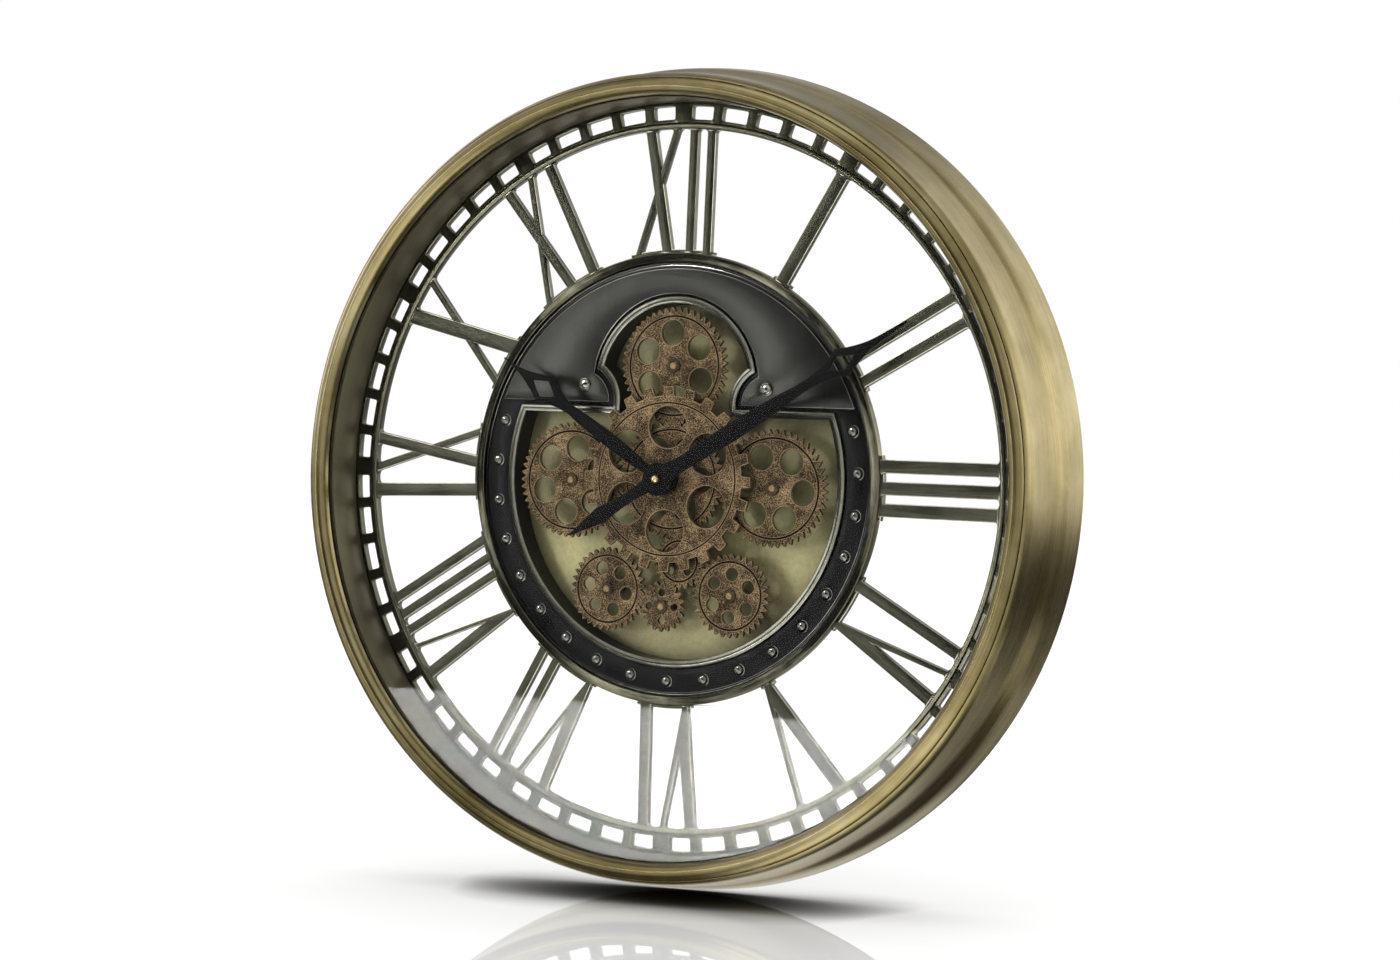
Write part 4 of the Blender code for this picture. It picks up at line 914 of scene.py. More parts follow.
def riveted_plate():
    begin()
    slab([circle_of(HUB - 9.0, RING_STEPS), loop_of(window_outline(2.35))], PLATE_BACK, PLATE_FRONT, 0.35)
    for outer, inner, front, edge, rows in PLATE_RINGS:
        ring = [circle_of(HUB - outer, RING_STEPS), circle_of(HUB - inner, RING_STEPS)]
        slab(ring, PLATE_BACK, front, edge, rows)
    dome = curve_through([
        (4.7, RIVET_SEAT), (4.65, -0.9), (4.2, -0.5), (3.7, 0.5), (2.8, 1.65), (1.5, 2.35), (0.0, 2.6),
    ], 3)
    first = polar(RIVET_RING, 180.0 - RIVET_STEP * (RIVETS - 1) / 2)
    spun(beside(first, [(0.0, RIVET_SEAT)] + dome), 24, spot(*first, 0.0))
    bpy.ops.mesh.spin(steps=RIVETS - 1, dupli=True, angle=math.radians(RIVET_STEP * (RIVETS - 1)),
                      center=spot(0.0, 0.0, 0.0), axis=(0.0, -1.0, 0.0))
    set_aside()

    def wear_and_shade_rule(place, facing):
        if place[2] > PLATE_FRONT + 0.5:
            return 0.5
        return edges_rubbed(0.0, 1.0, 0.25)(place, facing)
    finish("riveted_plate", HUB_METAL, "clock_frame", "hub_plate", "black_gunmetal", wear_and_shade_rule)


ARCH_BACK = -0.7
ARCH_EDGE, ARCH_FOOT = 0.931 * HUB, 0.3307 * HUB
ARCH_GAP, LOBE_GAP = 0.0435 * HUB, 0.0565 * HUB


def arch_outline():
    # Its right half runs round the hub, along the foot and back by the window.
    arch, lobe, foot = ARCH_RADIUS + ARCH_GAP, LOBE_RADIUS - LOBE_GAP, ARCH_FOOT
    cusp = crossing(ARCH_AT, arch, LOBE_AT, lobe)
    corner = (math.sqrt(ARCH_EDGE ** 2 - foot ** 2), foot)
    half = arc((0.0, 0.0), ARCH_EDGE, 90.0, angle_of((0.0, 0.0), corner) + 0.4, 40)
    half.append((corner[0] - 0.25, foot + 0.4))
    half.append((corner[0] - 1.1, foot))
    half.append((LOBE_AT[0] - lobe + 1.2, foot))
    half.append((LOBE_AT[0] - lobe + 0.35, foot + 0.35))
    half.append((LOBE_AT[0] - lobe, foot + 1.2))
    half += arc(LOBE_AT, lobe, 176.0, angle_of(LOBE_AT, cusp), 12)
    half += arc(ARCH_AT, arch, angle_of(ARCH_AT, cusp), 90.0, 28)[1:]
    return mirrored(half)


SCREW_AT, SCREW_HOLE = (0.450 * HUB, 0.4066 * HUB), 1.8
SCREW_RADIUS, SCREW_RISE, SCREW_SLOT = 4.3, 2.6, 1.1
SCREW_TURN = 20.0
SHANK, SHANK_END, WASHER = 1.5, -5.0, 4.7


def arch_plate():
    screw_holes = [circle_of(SCREW_HOLE, 16, (side * SCREW_AT[0], SCREW_AT[1])) for side in (-1, 1)]
    begin()
    slab([loop_of(arch_outline())] + screw_holes, ARCH_BACK, ARCH_FRONT, 0.7, 3)
    finish("arch_plate", ARCH_METAL, "clock_frame", "top_plate", "black_gunmetal",
           edges_rubbed(0.0, 1.0, 0.6))


def arch_screw(label, side):
    # A domed head with a slot, on a washer with the screw's shank behind it.
    middle = (side * SCREW_AT[0], SCREW_AT[1])
    seat = ARCH_FRONT + 0.9
    dome = curve_through([
        (SCREW_RADIUS, seat), (0.93 * SCREW_RADIUS, seat + 0.3 * SCREW_RISE),
        (0.7 * SCREW_RADIUS, seat + 0.68 * SCREW_RISE), (0.35 * SCREW_RADIUS, seat + 0.93 * SCREW_RISE),
        (0.0, seat + SCREW_RISE),
    ], 5)
    begin()
    spun(beside(middle, [(0.0, seat)] + dome), 48, spot(*middle, 0.0))
    for edge in (-1, 1):
        bpy.ops.mesh.select_all(action="SELECT")
        bpy.ops.mesh.bisect(plane_co=spot(middle[0], middle[1] + edge * SCREW_SLOT / 2, 0.0),
                            plane_no=(0.0, 0.0, 1.0))
    bpy.ops.mesh.select_all(action="SELECT")
    bpy.ops.mesh.normals_make_consistent(inside=False)
    line = middle[1] * MM
    pick(lambda place, normal: abs(place.z - line) < SCREW_SLOT / 2 * MM and normal.y < -0.05)
    bpy.ops.mesh.extrude_region_move(TRANSFORM_OT_translate={"value": (0.0, 0.45 * SCREW_RISE * MM, 0.0)})
    bpy.ops.mesh.select_mode(type="VERT")
    bpy.ops.mesh.select_all(action="SELECT")
    bpy.ops.transform.rotate(value=math.radians(-SCREW_TURN * side), orient_axis="Y",
                             center_override=spot(*middle, 0.0))
    set_aside()
    shank = [
        (WASHER, ARCH_FRONT + 0.35), (WASHER, ARCH_FRONT + 0.95), (SHANK, ARCH_FRONT + 1.0),
        (SHANK, SHANK_END), (0.3, SHANK_END), (0.3, ARCH_FRONT + 0.35),
    ]
    turned(softened(shank, 0.15, 2), 40, middle)
    finish("arch_screw_" + label, STEEL, "clock_frame", "top_plate_screw_" + label, "zinc_steel",
           edges_rubbed(0.5, 0.5, 0.5))


# Gear train
MODULE = HUB / 96.06
GEAR_FRONT, GEAR_BACK = front_of("top_gear"), back_of("top_gear")
LARGE, MEDIUM, IDLE, SMALL = 48, 34, 22, 20
# Half a tooth: shares of the pitch and of the tooth's height.
FLANK = (
    (0.0, 1.0), (0.055, 0.985), (0.085, 0.93), (0.16, 0.76), (0.25, 0.54), (0.34, 0.33), (0.42, 0.13),
    (0.5, 0.0),
)
BLOCK_FLANK = ((0.285, 0.0), (0.268, 0.10), (0.215, 0.88), (0.195, 0.99), (0.17, 1.0))


def fine_teeth(teeth, turn):
    # One tooth, drawn and copied round the wheel.
    tip = MODULE * (teeth / 2 + 0.85)
    height = MODULE * 2.3
    step = 360.0 / teeth
    left = [polar(tip - height * (1 - level), turn - share * step) for share, level in reversed(FLANK)]
    right = [polar(tip - height * (1 - level), turn + share * step) for share, level in FLANK[1:]]

    def draw(depth):
        trace([spot(x, y, depth) for x, y in left + right], closed=False)
        bpy.ops.mesh.select_linked()
        repeat(teeth, depth)
    return draw


def block_teeth(teeth, tip, root):
    step = 360.0 / teeth
    left = [polar(root + (tip - root) * level, -share * step) for share, level in BLOCK_FLANK]
    right = [polar(root + (tip - root) * level, share * step) for share, level in reversed(BLOCK_FLANK)]
    ends = [polar(root, -0.5 * step)], [polar(root, 0.5 * step)]

    def draw(depth):
        trace([spot(x, y, depth) for x, y in ends[0] + left + right + ends[1]], closed=False)
        bpy.ops.mesh.select_linked()
        repeat(teeth, depth)
    return draw


def holes(count, ring_radius, radius, turn):
    return [circle_of(radius, 36, polar(ring_radius, turn + 360.0 * k / count)) for k in range(count)]


def wheel(teeth, groove, hole_sizes, hole_turn, bore, turn):
    # A toothed rim, a sunk groove and an inner disc with round holes, or a
    # plain disc where the wheel is too small for a groove.
    if groove is None:
        plain = [fine_teeth(teeth, turn)] + holes(*hole_sizes, hole_turn) + [circle_of(bore, 36)]
        slab(plain, GEAR_BACK, GEAR_FRONT, 0.28)
        return
    slab([fine_teeth(teeth, turn), circle_of(groove + 0.75, 96)], GEAR_BACK, GEAR_FRONT, 0.28)
    slab([circle_of(groove + 1.0, 96), circle_of(groove - 1.0, 96)], GEAR_BACK + 0.2,
         GEAR_FRONT - 0.9, 0.05, 1)
    disc = [circle_of(groove - 0.75, 96)] + holes(*hole_sizes, hole_turn) + [circle_of(bore, 36)]
    slab(disc, GEAR_BACK, GEAR_FRONT, 0.35)


def shifted(middle):
    bpy.ops.mesh.reveal()
    bpy.ops.mesh.select_all(action="SELECT")
    bpy.ops.transform.translate(value=spot(*middle, 0.0) - spot(0.0, 0.0, 0.0))


def next_to(start, teeth_a, teeth_b, direction):
    x, y = polar(MODULE * (teeth_a + teeth_b) / 2, direction)
    return (start[0] + x, start[1] + y)


def meshed_turn(turn_a, teeth_a, teeth_b, direction):
    # The turn that puts a tooth space where the other gear has a tooth.
    step_a, step_b = 360.0 / teeth_a, 360.0 / teeth_b
    share = (direction - turn_a) / step_a % 1.0
    return direction + 180.0 - (0.5 - share) % 1.0 * step_b


SIDE_DIRECTION, IDLER_DIRECTION = 92.5, 171.6
LOWER_RIGHT_DIRECTION, SMALL_DIRECTION, LOWER_LEFT_DIRECTION = 118.5, 201.2, 283.2
IDLER_AT = next_to((0.0, 0.0), LARGE, IDLE, IDLER_DIRECTION)
IDLER_TURN = meshed_turn(0.0, LARGE, IDLE, IDLER_DIRECTION)
SMALL_AT = next_to(IDLER_AT, IDLE, SMALL, SMALL_DIRECTION)
SMALL_TURN = meshed_turn(IDLER_TURN, IDLE, SMALL, SMALL_DIRECTION)
LARGE_HOLES = (6, 14.0 * MODULE, 5.53 * MODULE)
MEDIUM_HOLES = (6, 9.18 * MODULE, 2.94 * MODULE)
IDLER_HOLES = (4, 5.9 * MODULE, 1.76 * MODULE)
SMALL_HOLES = (4, 6.0 * MODULE, 1.76 * MODULE)
LARGE_GROOVE, MEDIUM_GROOVE, IDLER_GROOVE, SMALL_GROOVE = 35.7, 24.4, 14.6, None
GEAR_BORE = 2.8

# A post's profile: its head in front of the gear, the gear's seat, and its
# foot in the plate behind.
POST_STEP, POST_END = -17.7, -23.0
POST = [
    (0.0, GEAR_FRONT + 2.9), (1.2, GEAR_FRONT + 2.7), (2.2, GEAR_FRONT + 2.0), (2.45, GEAR_FRONT + 1.35),
    (4.4, GEAR_FRONT + 1.3), (4.9, GEAR_FRONT + 0.8), (4.9, GEAR_FRONT + 0.3), (2.5, GEAR_FRONT + 0.3),
    (2.5, GEAR_BACK - 0.3), (3.9, GEAR_BACK - 0.3), (3.9, POST_STEP), (2.0, POST_STEP), (2.0, POST_END),
    (0.0, POST_END),
]


def gear(name, teeth, beside, beside_at, beside_turn, direction, hole_sizes, hole_turn, groove):
    # A gear in mesh with another, on its own post.
    middle = next_to(beside_at, beside, teeth, direction)
    turn = meshed_turn(beside_turn, beside, teeth, direction)
    begin()
    wheel(teeth, groove, hole_sizes, hole_turn, GEAR_BORE, turn)
    shifted(middle)
    finish(name + "_wheel", COPPER, name, name, "rubbed_copper", grooved(GEAR_FRONT))
    begin()
    turned(softened(POST, 0.3, 2, closed=False), 36, closed=False)
    shifted(middle)

    # The head is rubbed lighter; the rest of the post gets painted shade, a value below 0.
    def wear_and_shade_rule(place, facing):
        return 0.6 if place[2] > GEAR_FRONT + 1.4 else -0.8
    finish(name + "_post", PIN, name, name + "_arbor", "rubbed_copper", wear_and_shade_rule)


def gear_train():
    middle = (0.0, 0.0)
    gear("top_gear", LARGE, LARGE, middle, 0.0, 0.0, LARGE_HOLES, -4.5, LARGE_GROOVE)
    gear("left_gear", LARGE, LARGE, middle, 0.0, -SIDE_DIRECTION, LARGE_HOLES, 10.4, LARGE_GROOVE)
    gear("right_gear", LARGE, LARGE, middle, 0.0, SIDE_DIRECTION, LARGE_HOLES, 36.0, LARGE_GROOVE)
    gear("idler_gear", IDLE, LARGE, middle, 0.0, IDLER_DIRECTION, IDLER_HOLES, 45.0, IDLER_GROOVE)
    gear("lower_right_gear", MEDIUM, IDLE, IDLER_AT, IDLER_TURN, LOWER_RIGHT_DIRECTION, MEDIUM_HOLES, 3.8,
         MEDIUM_GROOVE)
    gear("small_gear", SMALL, IDLE, IDLER_AT, IDLER_TURN, SMALL_DIRECTION, SMALL_HOLES, 0.0, SMALL_GROOVE)
    gear("lower_left_gear", MEDIUM, SMALL, SMALL_AT, SMALL_TURN, LOWER_LEFT_DIRECTION, MEDIUM_HOLES, -19.5,
         MEDIUM_GROOVE)


COARSE_BACK, COARSE_FRONT = back_of("centre_coarse_gear"), front_of("centre_coarse_gear")
COARSE_TEETH, COARSE_TIP, COARSE_ROOT = 24, 0.409 * HUB, 0.3677 * HUB
COARSE_GROOVE = 54.9
COARSE_HOLES = (6, 37.4, 15.3)
CENTRE_BORE = 7.8
COLLAR, COLLAR_BACK, COLLAR_FRONT = 12.0, 2.8, 5.2
TUBE = ((9.5, 18.6), (9.5, 9.8), (7.5, 9.8), (7.5, -14.9), (5.3, -14.9), (5.3, 18.6))


def centre_gears():
    begin()
    rim = [block_teeth(COARSE_TEETH, COARSE_TIP, COARSE_ROOT), circle_of(COARSE_GROOVE + 0.6, COARSE_STEPS)]
    slab(rim, COARSE_BACK, COARSE_FRONT, 0.45)
    groove = [circle_of(COARSE_GROOVE + out, COARSE_STEPS) for out in (0.9, -1.0)]
    slab(groove, COARSE_BACK + 0.2, COARSE_FRONT - 0.8, 0.05, 1)
    disc, bore = circle_of(COARSE_GROOVE - 0.5, COARSE_STEPS), circle_of(CENTRE_BORE, 48)
    slab([disc] + holes(*COARSE_HOLES, 0.0) + [bore], COARSE_BACK, COARSE_FRONT, 0.45)
    finish("centre_square_wheel", COPPER, "centre_gears", "centre_coarse_gear", "rubbed_copper",
           grooved(COARSE_FRONT))
    begin()
    wheel(LARGE, LARGE_GROOVE, LARGE_HOLES, 30.0, CENTRE_BORE, 0.0)
    finish("centre_fine_wheel", COPPER, "centre_gears", "centre_fine_gear", "rubbed_copper",
           grooved(GEAR_FRONT))
    collar = [
        (COLLAR, COLLAR_FRONT), (COLLAR, COLLAR_BACK), (CENTRE_BORE, COLLAR_BACK),
        (CENTRE_BORE, COLLAR_FRONT),
    ]
    begin()
    turned(softened(collar, 0.3, 2), 48)
    finish("centre_collar", COPPER, "centre_gears", "centre_spacer", "rubbed_copper")
    begin()
    turned(softened(TUBE, 0.4, 3), 48)
    finish("centre_sleeve", BLACK, "centre_gears", "centre_tube", "black_paint")


# Hands: half widths along the length, from the tail to the tip
MINUTE_WIDTHS = (
    (-83.0, 0.4), (-53.3, 6.2), (-39.5, 4.6), (-26.3, 4.0), (-13.2, 4.8),
    (13.2, 6.6), (26.3, 5.5), (68.5, 6.6), (105.4, 5.4), (131.7, 3.6), (152.8, 5.7),
    (165.9, 10.8), (173.8, 7.4), (184.4, 4.2), (194.9, 2.4), (210.7, 1.6), (221.5, 0.6),
)
MINUTE_EYE = ((0.0, 153.6), (5.7, 164.6), (0.0, 175.9), (-5.7, 164.6))
HOUR_WIDTHS = (
    (13.2, 3.4), (26.3, 4.6), (52.7, 5.3), (79.0, 4.5), (89.6, 3.8), (105.4, 6.8),
    (115.9, 10.8), (126.4, 6.2), (137.0, 2.6), (147.5, 1.1), (156.0, 0.6),
)
HOUR_EYE = ((0.0, 104.8), (6.8, 115.1), (0.0, 126.4), (-6.8, 115.1))
BOSS, HOUR_BORE, MINUTE_BORE = 12.0, 3.6, 2.5
HOUR_ANGLE, MINUTE_ANGLE = 302.7, 58.6


def side_line(widths):
    # A smooth edge that keeps its corners at the widest points.
    points = []
    run = [widths[0]]
    for before, here, after in zip(widths, widths[1:], widths[2:] + (None,)):
        run.append(here)
        if after is None or here[1] > max(6.0, before[1] + 1.0, after[1] + 1.0):
            points += curve_through(run, 5)[:-1]
            run = [here]
    if len(run) > 1:
        points += curve_through(run, 5)[:-1]
    return [(half, along) for along, half in points + [widths[-1]]]


def hand_outline(widths):
    tail = tuple(pair for pair in widths if pair[0] < 0.0)
    nose = tuple(pair for pair in widths if pair[0] > 0.0)
    start = math.degrees(math.acos(tail[-1][1] / BOSS)) if tail else 90.0
    end = math.degrees(math.acos(nose[0][1] / BOSS))
    edge = (side_line(tail) if tail else []) + arc((0.0, 0.0), BOSS, -start, end, 24) + side_line(nose)
    right = [edge[0]]
    for point in edge[1:]:
        if math.dist(point, right[-1]) > 0.15:
            right.append(point)
    left = [(-x, y) for x, y in reversed(right)]
    return right + (left if tail else left[:-1])


def hand(name, widths, eye, bore, angle, node):
    outlines = [loop_of(turned_points(hand_outline(widths), angle)), loop_of(turned_points(eye, angle))]
    begin()
    slab(outlines + [circle_of(bore, 48)], back_of(node), front_of(node), 0.25)
    finish(name, BLACK, node, node, "black_paint", edges_rubbed(0.0, 1.0, 0.3))


def hands():
    hand("hour_pointer", HOUR_WIDTHS, HOUR_EYE, HOUR_BORE, HOUR_ANGLE, "hour_hand")
    hand("minute_pointer", MINUTE_WIDTHS, MINUTE_EYE, MINUTE_BORE, MINUTE_ANGLE, "minute_hand")
    cap = [
        (0.0, 29.5), (1.2, 29.3), (2.3, 28.6), (3.0, 27.4), (3.2, 26.2), (3.2, 24.0), (2.5, 24.0),
        (2.5, 26.5), (0.0, 26.5),
    ]
    begin()
    turned(softened(cap, 0.25, 3, closed=False), 40, closed=False)
    finish("hand_cap", NUT, "minute_hand", "hand_nut", "bright_brass", edges_rubbed(0.4, 0.4, 0.4))


# Back of the hub
COVER_FRONT, COVER_SHEET = -6.1, 1.5
CELL = (
    (0.0, 24.5), (2.5, 24.5), (2.8, 24.2), (2.8, 23.0), (6.4, 23.0), (7.0, 22.4), (7.0, 13.0), (7.0, -23.7),
    (6.3, -24.5), (0.0, -24.5),
)
CELL_CAP, CELL_FOOT = 13.0, -23.6
KNOB_AT = (14.0, 14.0)
KNOB_STEPS, KNOB_EDGE, KNOB_RIB = 72, 6.2, 0.965


def opening(node, margin):
    # The four corners round a node's box, as seen from the back.
    low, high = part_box(node)
    left, right = low.x / MM - margin, high.x / MM + margin
    bottom, top = low.z / MM - margin, high.z / MM + margin
    return loop_of([(left, bottom), (right, bottom), (right, top), (left, top)])


def rear_cover():
    begin()
    outlines = [circle_of(COVER - 2.0, COVER_STEPS)]
    outlines += [opening(node, 0.3) for node in ("movement_case", "battery_holder")]
    slab(outlines, COVER_BACK, COVER_BACK + COVER_SHEET, 0.2, 1)
    rolled = curve_through([
        (COVER - 2.4, COVER_BACK), (COVER - 1.0, COVER_BACK + 0.3), (COVER - 0.2, COVER_BACK + 1.1),
        (COVER, COVER_BACK + 2.4),
    ], 3)
    wall = [
        (COVER, COVER_FRONT), (COVER - COVER_SHEET, COVER_FRONT), (COVER - COVER_SHEET, COVER_BACK + 2.0),
        (COVER - 2.4, COVER_BACK + COVER_SHEET),
    ]
    turned(rolled + wall, COVER_STEPS)
    finish("rear_cover", ENAMEL, "clock_frame", "hub_back_cover", "black_gunmetal")


def cell(name, node):
    # A dry cell that lies on its side.
    low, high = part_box(node)
    middle = (low + high) / 2
    begin()
    profile = [middle + Vector((along, 0.0, radius)) * MM for radius, along in CELL]
    spun(profile, 36, middle, (1.0, 0.0, 0.0))

    def wear_and_shade_rule(place, facing):
        along = place[0] - middle.x / MM
        return 1.0 if along > CELL_CAP or along < CELL_FOOT else 0.0
    finish(name, WRAP, "clock_frame", node, "battery_wrap", wear_and_shade_rule)


def setting_knob():
    # Every second line of its rim is drawn in, for the ribs.
    section = [
        (0.0, -29.9), (1.5, -29.9), (1.5, -33.1), (6.5, -33.1), (6.5, -36.3), (2.2, -36.3), (1.6, -35.5),
        (0.0, -35.5),
    ]
    begin()
    turned(softened(section, 0.25, 2, closed=False), KNOB_STEPS, KNOB_AT, closed=False)
    bpy.ops.mesh.reveal()
    mesh = bpy.context.object.data
    rim = bmesh.from_edit_mesh(mesh)
    bpy.ops.mesh.select_all(action="DESELECT")
    middle = spot(*KNOB_AT, 0.0)
    for corner in rim.verts:
        across, up = (corner.co.x - middle.x) / MM, (corner.co.z - middle.z) / MM
        groove = round(math.degrees(math.atan2(across, up)) * KNOB_STEPS / 360.0) % 2
        if math.hypot(across, up) > KNOB_EDGE and groove:
            corner.select_set(True)
    bmesh.update_edit_mesh(mesh)
    bpy.ops.transform.resize(value=(KNOB_RIB, 1.0, KNOB_RIB), center_override=middle)
    finish("time_setting_knob", PLASTIC, "setting_knob", "setting_knob", "black_plastic")


def kept_solids():
    # Solids whose shape is right as it is get their finish here.
    finishes = {
        "back_plate": KHAKI, "hanger_plate": STEEL, "movement_nut": NUT, "movement_case": PLASTIC,
        "battery_holder": PLASTIC, "gear_motor": PLASTIC, "hour_pipe": NUT, "minute_arbor": STEEL,
    }
    for node, material in finishes.items():
        mesh = frame["nodes"][node].data
        if not mesh.materials:
            mesh.materials.append(material)
        for index in range(len(mesh.materials)):
            mesh.materials[index] = material


drum()
bezel()
glass()
inner_wall()
minute_track()
for hour in range(1, 13):
    numeral(hour)
hub_band()
window_moulding()
riveted_plate()
arch_plate()
arch_screw("left", -1)
arch_screw("right", 1)
gear_train()
centre_gears()
hands()
rear_cover()
cell("movement_cell", "movement_battery")
cell("gear_cell_1", "gear_battery_1")
cell("gear_cell_2", "gear_battery_2")
setting_knob()
kept_solids()


# Camera at the photograph's angle
PHOTO_WIDTH, FOCAL_PIXELS, SENSOR = 1400, 3019.18, 36.0
TILT, SWING, ROLL = 0.291, -26.816, -2.0585

# Where it stands from the middle of the minute track, along its own axes, in
# this unit.
CAMERA_UNIT = 263.4 * MM
CAMERA_AT = (0.07642, -0.00244, 8.2615)
TURN = (Matrix.Rotation(math.radians(TILT), 3, "X") @ Matrix.Rotation(math.radians(SWING), 3, "Y")
        @ Matrix.Rotation(math.radians(ROLL), 3, "Z"))
TO_WORLD = Matrix(((1, 0, 0), (0, 0, -1), (0, 1, 0)))
place = TO_WORLD @ (TURN.transposed() @ Vector(CAMERA_AT)) * CAMERA_UNIT
place.y += MIDDLE * MM
basis = TO_WORLD @ TURN.transposed()
camera_data = bpy.data.cameras.new("camera")
camera_data.sensor_width = SENSOR
camera_data.lens = FOCAL_PIXELS / PHOTO_WIDTH * SENSOR
camera_data.clip_start = 0.05
camera_data.clip_end = 60.0
camera = bpy.data.objects.new("camera", camera_data)
camera.matrix_world = Matrix.Translation(place) @ basis.to_4x4()
bpy.context.scene.collection.objects.link(camera)
bpy.context.scene.camera = camera
bpy.context.scene.view_settings.view_transform = "Standard"

# Floor, level in the picture and just under the lowest point
FLOOR_REACH, FLOOR_GAP = 9.0, 0.001
MIRROR_SHARE = 0.38
# How far the floor's painted contact shadow reaches, and how steeply it darkens.
CONTACT_REACH, CONTACT_POWER = 0.055, 1.6
DRUM_REAR = (0.03, 0.04)


def panel(name, corners, material):
    # A flat sheet with four corners.
    mesh = bpy.data.meshes.new(name)
    mesh.from_pydata([tuple(corner) for corner in corners], [], [(0, 1, 2, 3)])
    mesh.materials.append(material)
    return bpy.data.objects.new(name, mesh)


def floor_finish():
    # Matte with a share of mirror, and a painted contact shadow: dark close under the clock, darker the
    # nearer the clock is.
    p = Bare("studio_floor")
    matte = p.node("ShaderNodeBsdfDiffuse", (0.8, 0.8, 0.8, 1.0)).outputs[0]
    mirror = p.node("ShaderNodeBsdfGlossy", (1.0, 1.0, 1.0, 1.0), 0.0).outputs[0]
    black = p.node("ShaderNodeEmission", (0.0, 0.0, 0.0, 1.0)).outputs[0]
    painted_contact_shadow = p.node("ShaderNodeAmbientOcclusion", None, CONTACT_REACH, samples=16).outputs["AO"]
    lit = p.shaders(MIRROR_SHARE, matte, mirror)
    return p.surface(p.shaders(p.math("POWER", painted_contact_shadow, CONTACT_POWER), black, lit))


right = basis.col[0].copy()
normal = Vector((0.0, 0.0, 1.0))
normal = (normal - right * normal.dot(right)).normalized()
lowest = min(Vector((CASE * MM * math.sin(a), y, CASE * MM * math.cos(a))).dot(normal)
             for a in [math.radians(k) for k in range(360)] for y in DRUM_REAR)
across = right.normalized()
ahead = normal.cross(across).normalized()
centre = normal * (lowest - FLOOR_GAP)
corners = [centre + across * a * FLOOR_REACH + ahead * b * FLOOR_REACH
           for a, b in ((-1, -1), (1, -1), (1, 1), (-1, 1))]
floor = panel("studio_floor", corners, floor_finish())
bpy.context.scene.collection.objects.link(floor)
floor.visible_glossy = False

# World
WORLD_LIGHT = 0.62


def studio_world():
    # White where it is seen, and dimmer where it only lights.
    world = bpy.data.worlds.new("studio")
    bpy.context.scene.world = world
    p = Nodes(world)
    back = p.tree.nodes["Background"].inputs
    rays = p.node("ShaderNodeLightPath").outputs
    seen = p.math("MAXIMUM", rays["Is Camera Ray"], rays["Is Glossy Ray"])
    seen = p.math("MAXIMUM", seen, rays["Is Transmission Ray"])
    p.feed(back["Color"], (1.0, 1.0, 1.0, 1.0))
    p.feed(back["Strength"], p.fit(seen, 0.0, 1.0, WORLD_LIGHT, 1.0))


studio_world()


# Lamps and cards
def aimed(obj, at, target=(0.0, 0.0, 0.0)):
    direction = Vector(target) - Vector(at)
    obj.location = at
    obj.rotation_mode = "QUATERNION"
    obj.rotation_quaternion = direction.to_track_quat("-Z", "Y")
    bpy.context.scene.collection.objects.link(obj)
    return obj


def lamp(name, at, width, height, radiance, target=(0.0, 0.0, 0.0)):
    data = bpy.data.lights.new(name, "AREA")
    data.shape = "RECTANGLE"
    data.size = width
    data.size_y = height
    data.energy = radiance * math.pi * width * height
    return aimed(bpy.data.objects.new(name, data), at, target)


def card(name, at, width, height, axis, shade):
    # It faces the clock along one axis, and the metals reflect it. The floor and
    # the glass, which mirror sharply, see past it.
    p = Bare(name)
    tone = p.node("ShaderNodeEmission", (shade, shade, shade, 1.0)).outputs[0]
    clear = p.node("ShaderNodeBsdfTransparent").outputs[0]
    sharp = p.node("ShaderNodeLightPath").outputs["Is Singular Ray"]
    x, y = width / 2, height / 2
    corners = [(-x, -y, 0), (x, -y, 0), (x, y, 0), (-x, y, 0)]
    target = list(at)
    target[axis] = 0.0
    obj = aimed(panel(name, corners, p.surface(p.shaders(sharp, tone, clear))), at, target)
    for flag in ("visible_camera", "visible_diffuse", "visible_transmission", "visible_shadow"):
        setattr(obj, flag, False)


def linked(light, items, state="INCLUDE"):
    # The lamp lights only these pieces, or all but these.
    group = bpy.data.collections.new(light.name + "_link")
    for item in items:
        group.objects.link(item)
    for entry in group.collection_objects:
        entry.light_linking.link_state = state
    light.light_linking.receiver_collection = group


key = lamp("key_softbox", (-1.7, -2.0, 1.7), 1.5, 1.1, 2.4)
top = lamp("top_softbox", (0.1, -0.2, 2.2), 1.8, 1.2, 1.2)
linked(key, [floor, bpy.data.objects["bezel_ring"], bpy.data.objects["drum_case"]], "EXCLUDE")
linked(top, [floor], "EXCLUDE")

# A wide light from straight above gives the floor its soft shadow.
sky = bpy.data.lights.new("floor_light", "SUN")
sky.energy = 2.9
sky.angle = math.radians(80)
linked(aimed(bpy.data.objects.new("floor_light", sky), (0.0, 0.0, 3.0)), [floor])

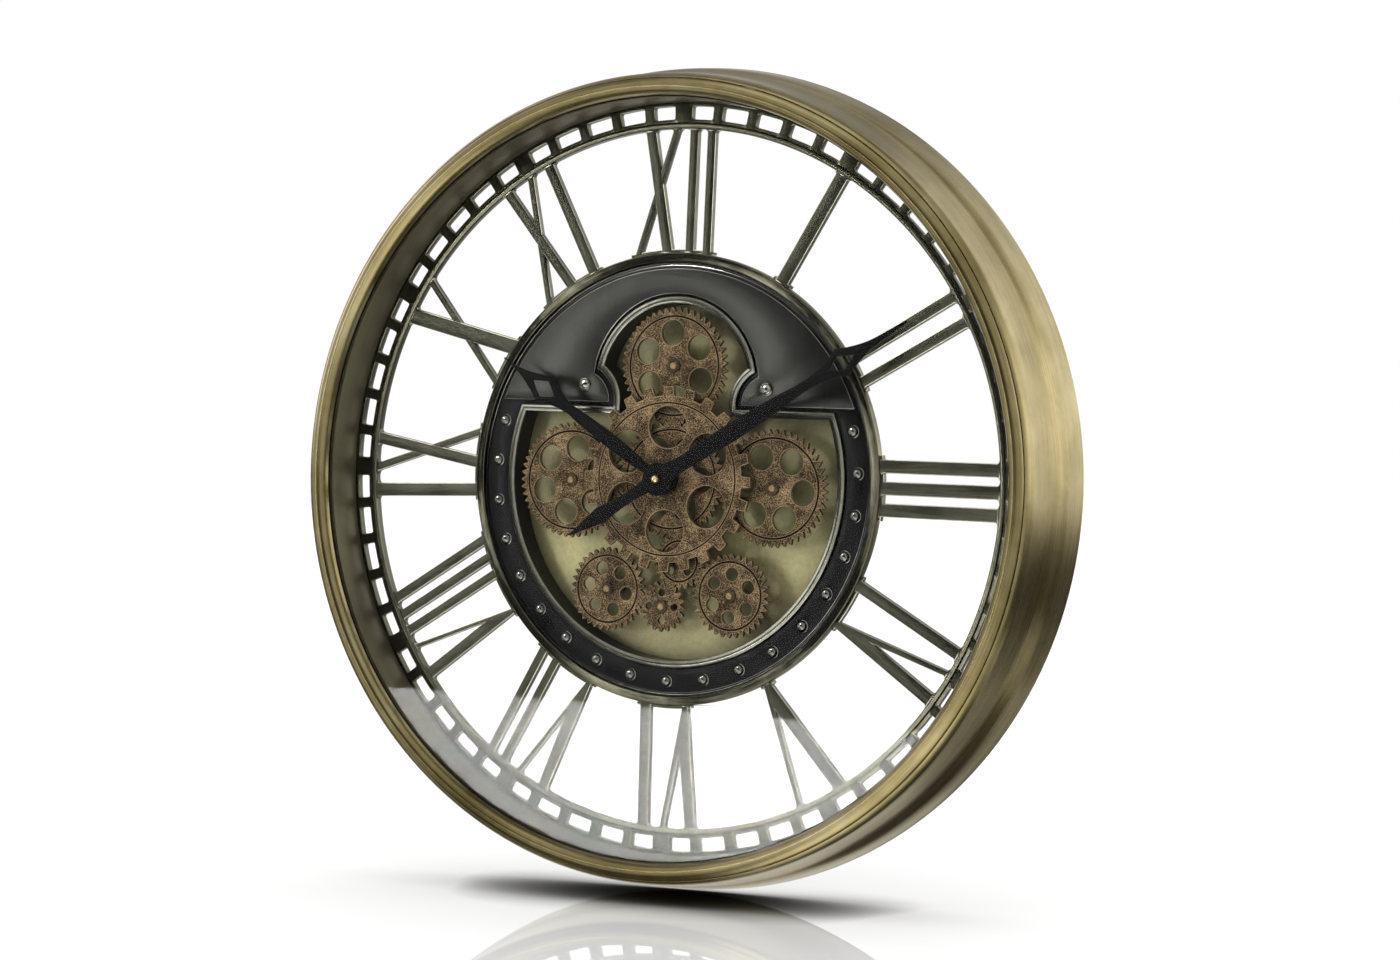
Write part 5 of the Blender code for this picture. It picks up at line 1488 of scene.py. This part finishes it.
# A long low softbox that only the glass shows.
sheen = lamp("glass_softbox", (-0.98, -1.93, -0.622), 1.3, 0.5, 73.0, (-0.98, 0.0, -0.622))
sheen.visible_camera = False
linked(sheen, [bpy.data.objects["glass_disc"]])

# A small lamp that draws glints on the rivets and screws.
glint = lamp("glint_softbox", (-1.3, -2.2, 2.1), 0.4, 0.4, 150.0)
linked(glint, [piece for piece in bpy.data.objects if piece.name.startswith(("riveted", "arch_screw"))])

# The cards: place, width, height, the axis that each faces along, and shade.
ACROSS, DEEP, UP = 0, 1, 2
CARDS = {
    "front_card": ((-0.20, -3.2, 0.70), 3.2, 2.2, DEEP, 0.04),
    "front_glow": ((-3.10, -3.2, 0.62), 1.7, 1.35, DEEP, 1.4),
    "front_strip": ((-2.03, -3.2, 0.24), 0.5, 0.95, DEEP, 11.0),
    "low_front_card": ((-2.68, -3.2, -0.9), 2.3, 1.6, DEEP, 0.25),
    "low_front_glow": ((-0.38, -3.2, -1.05), 2.3, 1.3, DEEP, 2.6),
    "left_glow": ((-2.4, 0.9, 0.75), 1.4, 1.25, ACROSS, 2.6),
    "left_card": ((-2.4, 0.9, -0.72), 1.6, 1.4, ACROSS, 0.2),
    "roof_card": ((-0.4, 0.5, 2.7), 3.6, 2.6, UP, 0.3),
    "ground_card": ((-0.95, -0.1, -1.2), 1.7, 1.6, UP, 0.15),
    "ground_glow": ((0.75, -1.2, -1.2), 1.6, 2.5, UP, 2.6),
    "far_glow": ((2.1, 2.7, 1.3), 2.6, 3.0, DEEP, 2.0),
    "back_roof_card": ((-1.0, 2.3, 1.9), 2.2, 1.6, DEEP, 0.45),
    "right_glow": ((2.6, 1.3, 0.75), 2.4, 1.7, ACROSS, 2.6),
    "right_shade": ((2.6, 1.3, -0.92), 2.4, 1.2, ACROSS, 0.04),
    "low_back_shade": ((1.9, 2.3, -0.86), 1.5, 1.1, DEEP, 0.04),
    "low_back_card": ((0.7, 2.3, -1.3), 0.9, 1.9, DEEP, 0.45),
    "ground_shade": ((0.6, 0.9, -1.2), 1.4, 1.0, UP, 0.05),
}
for name, sizes in CARDS.items():
    card(name, *sizes)
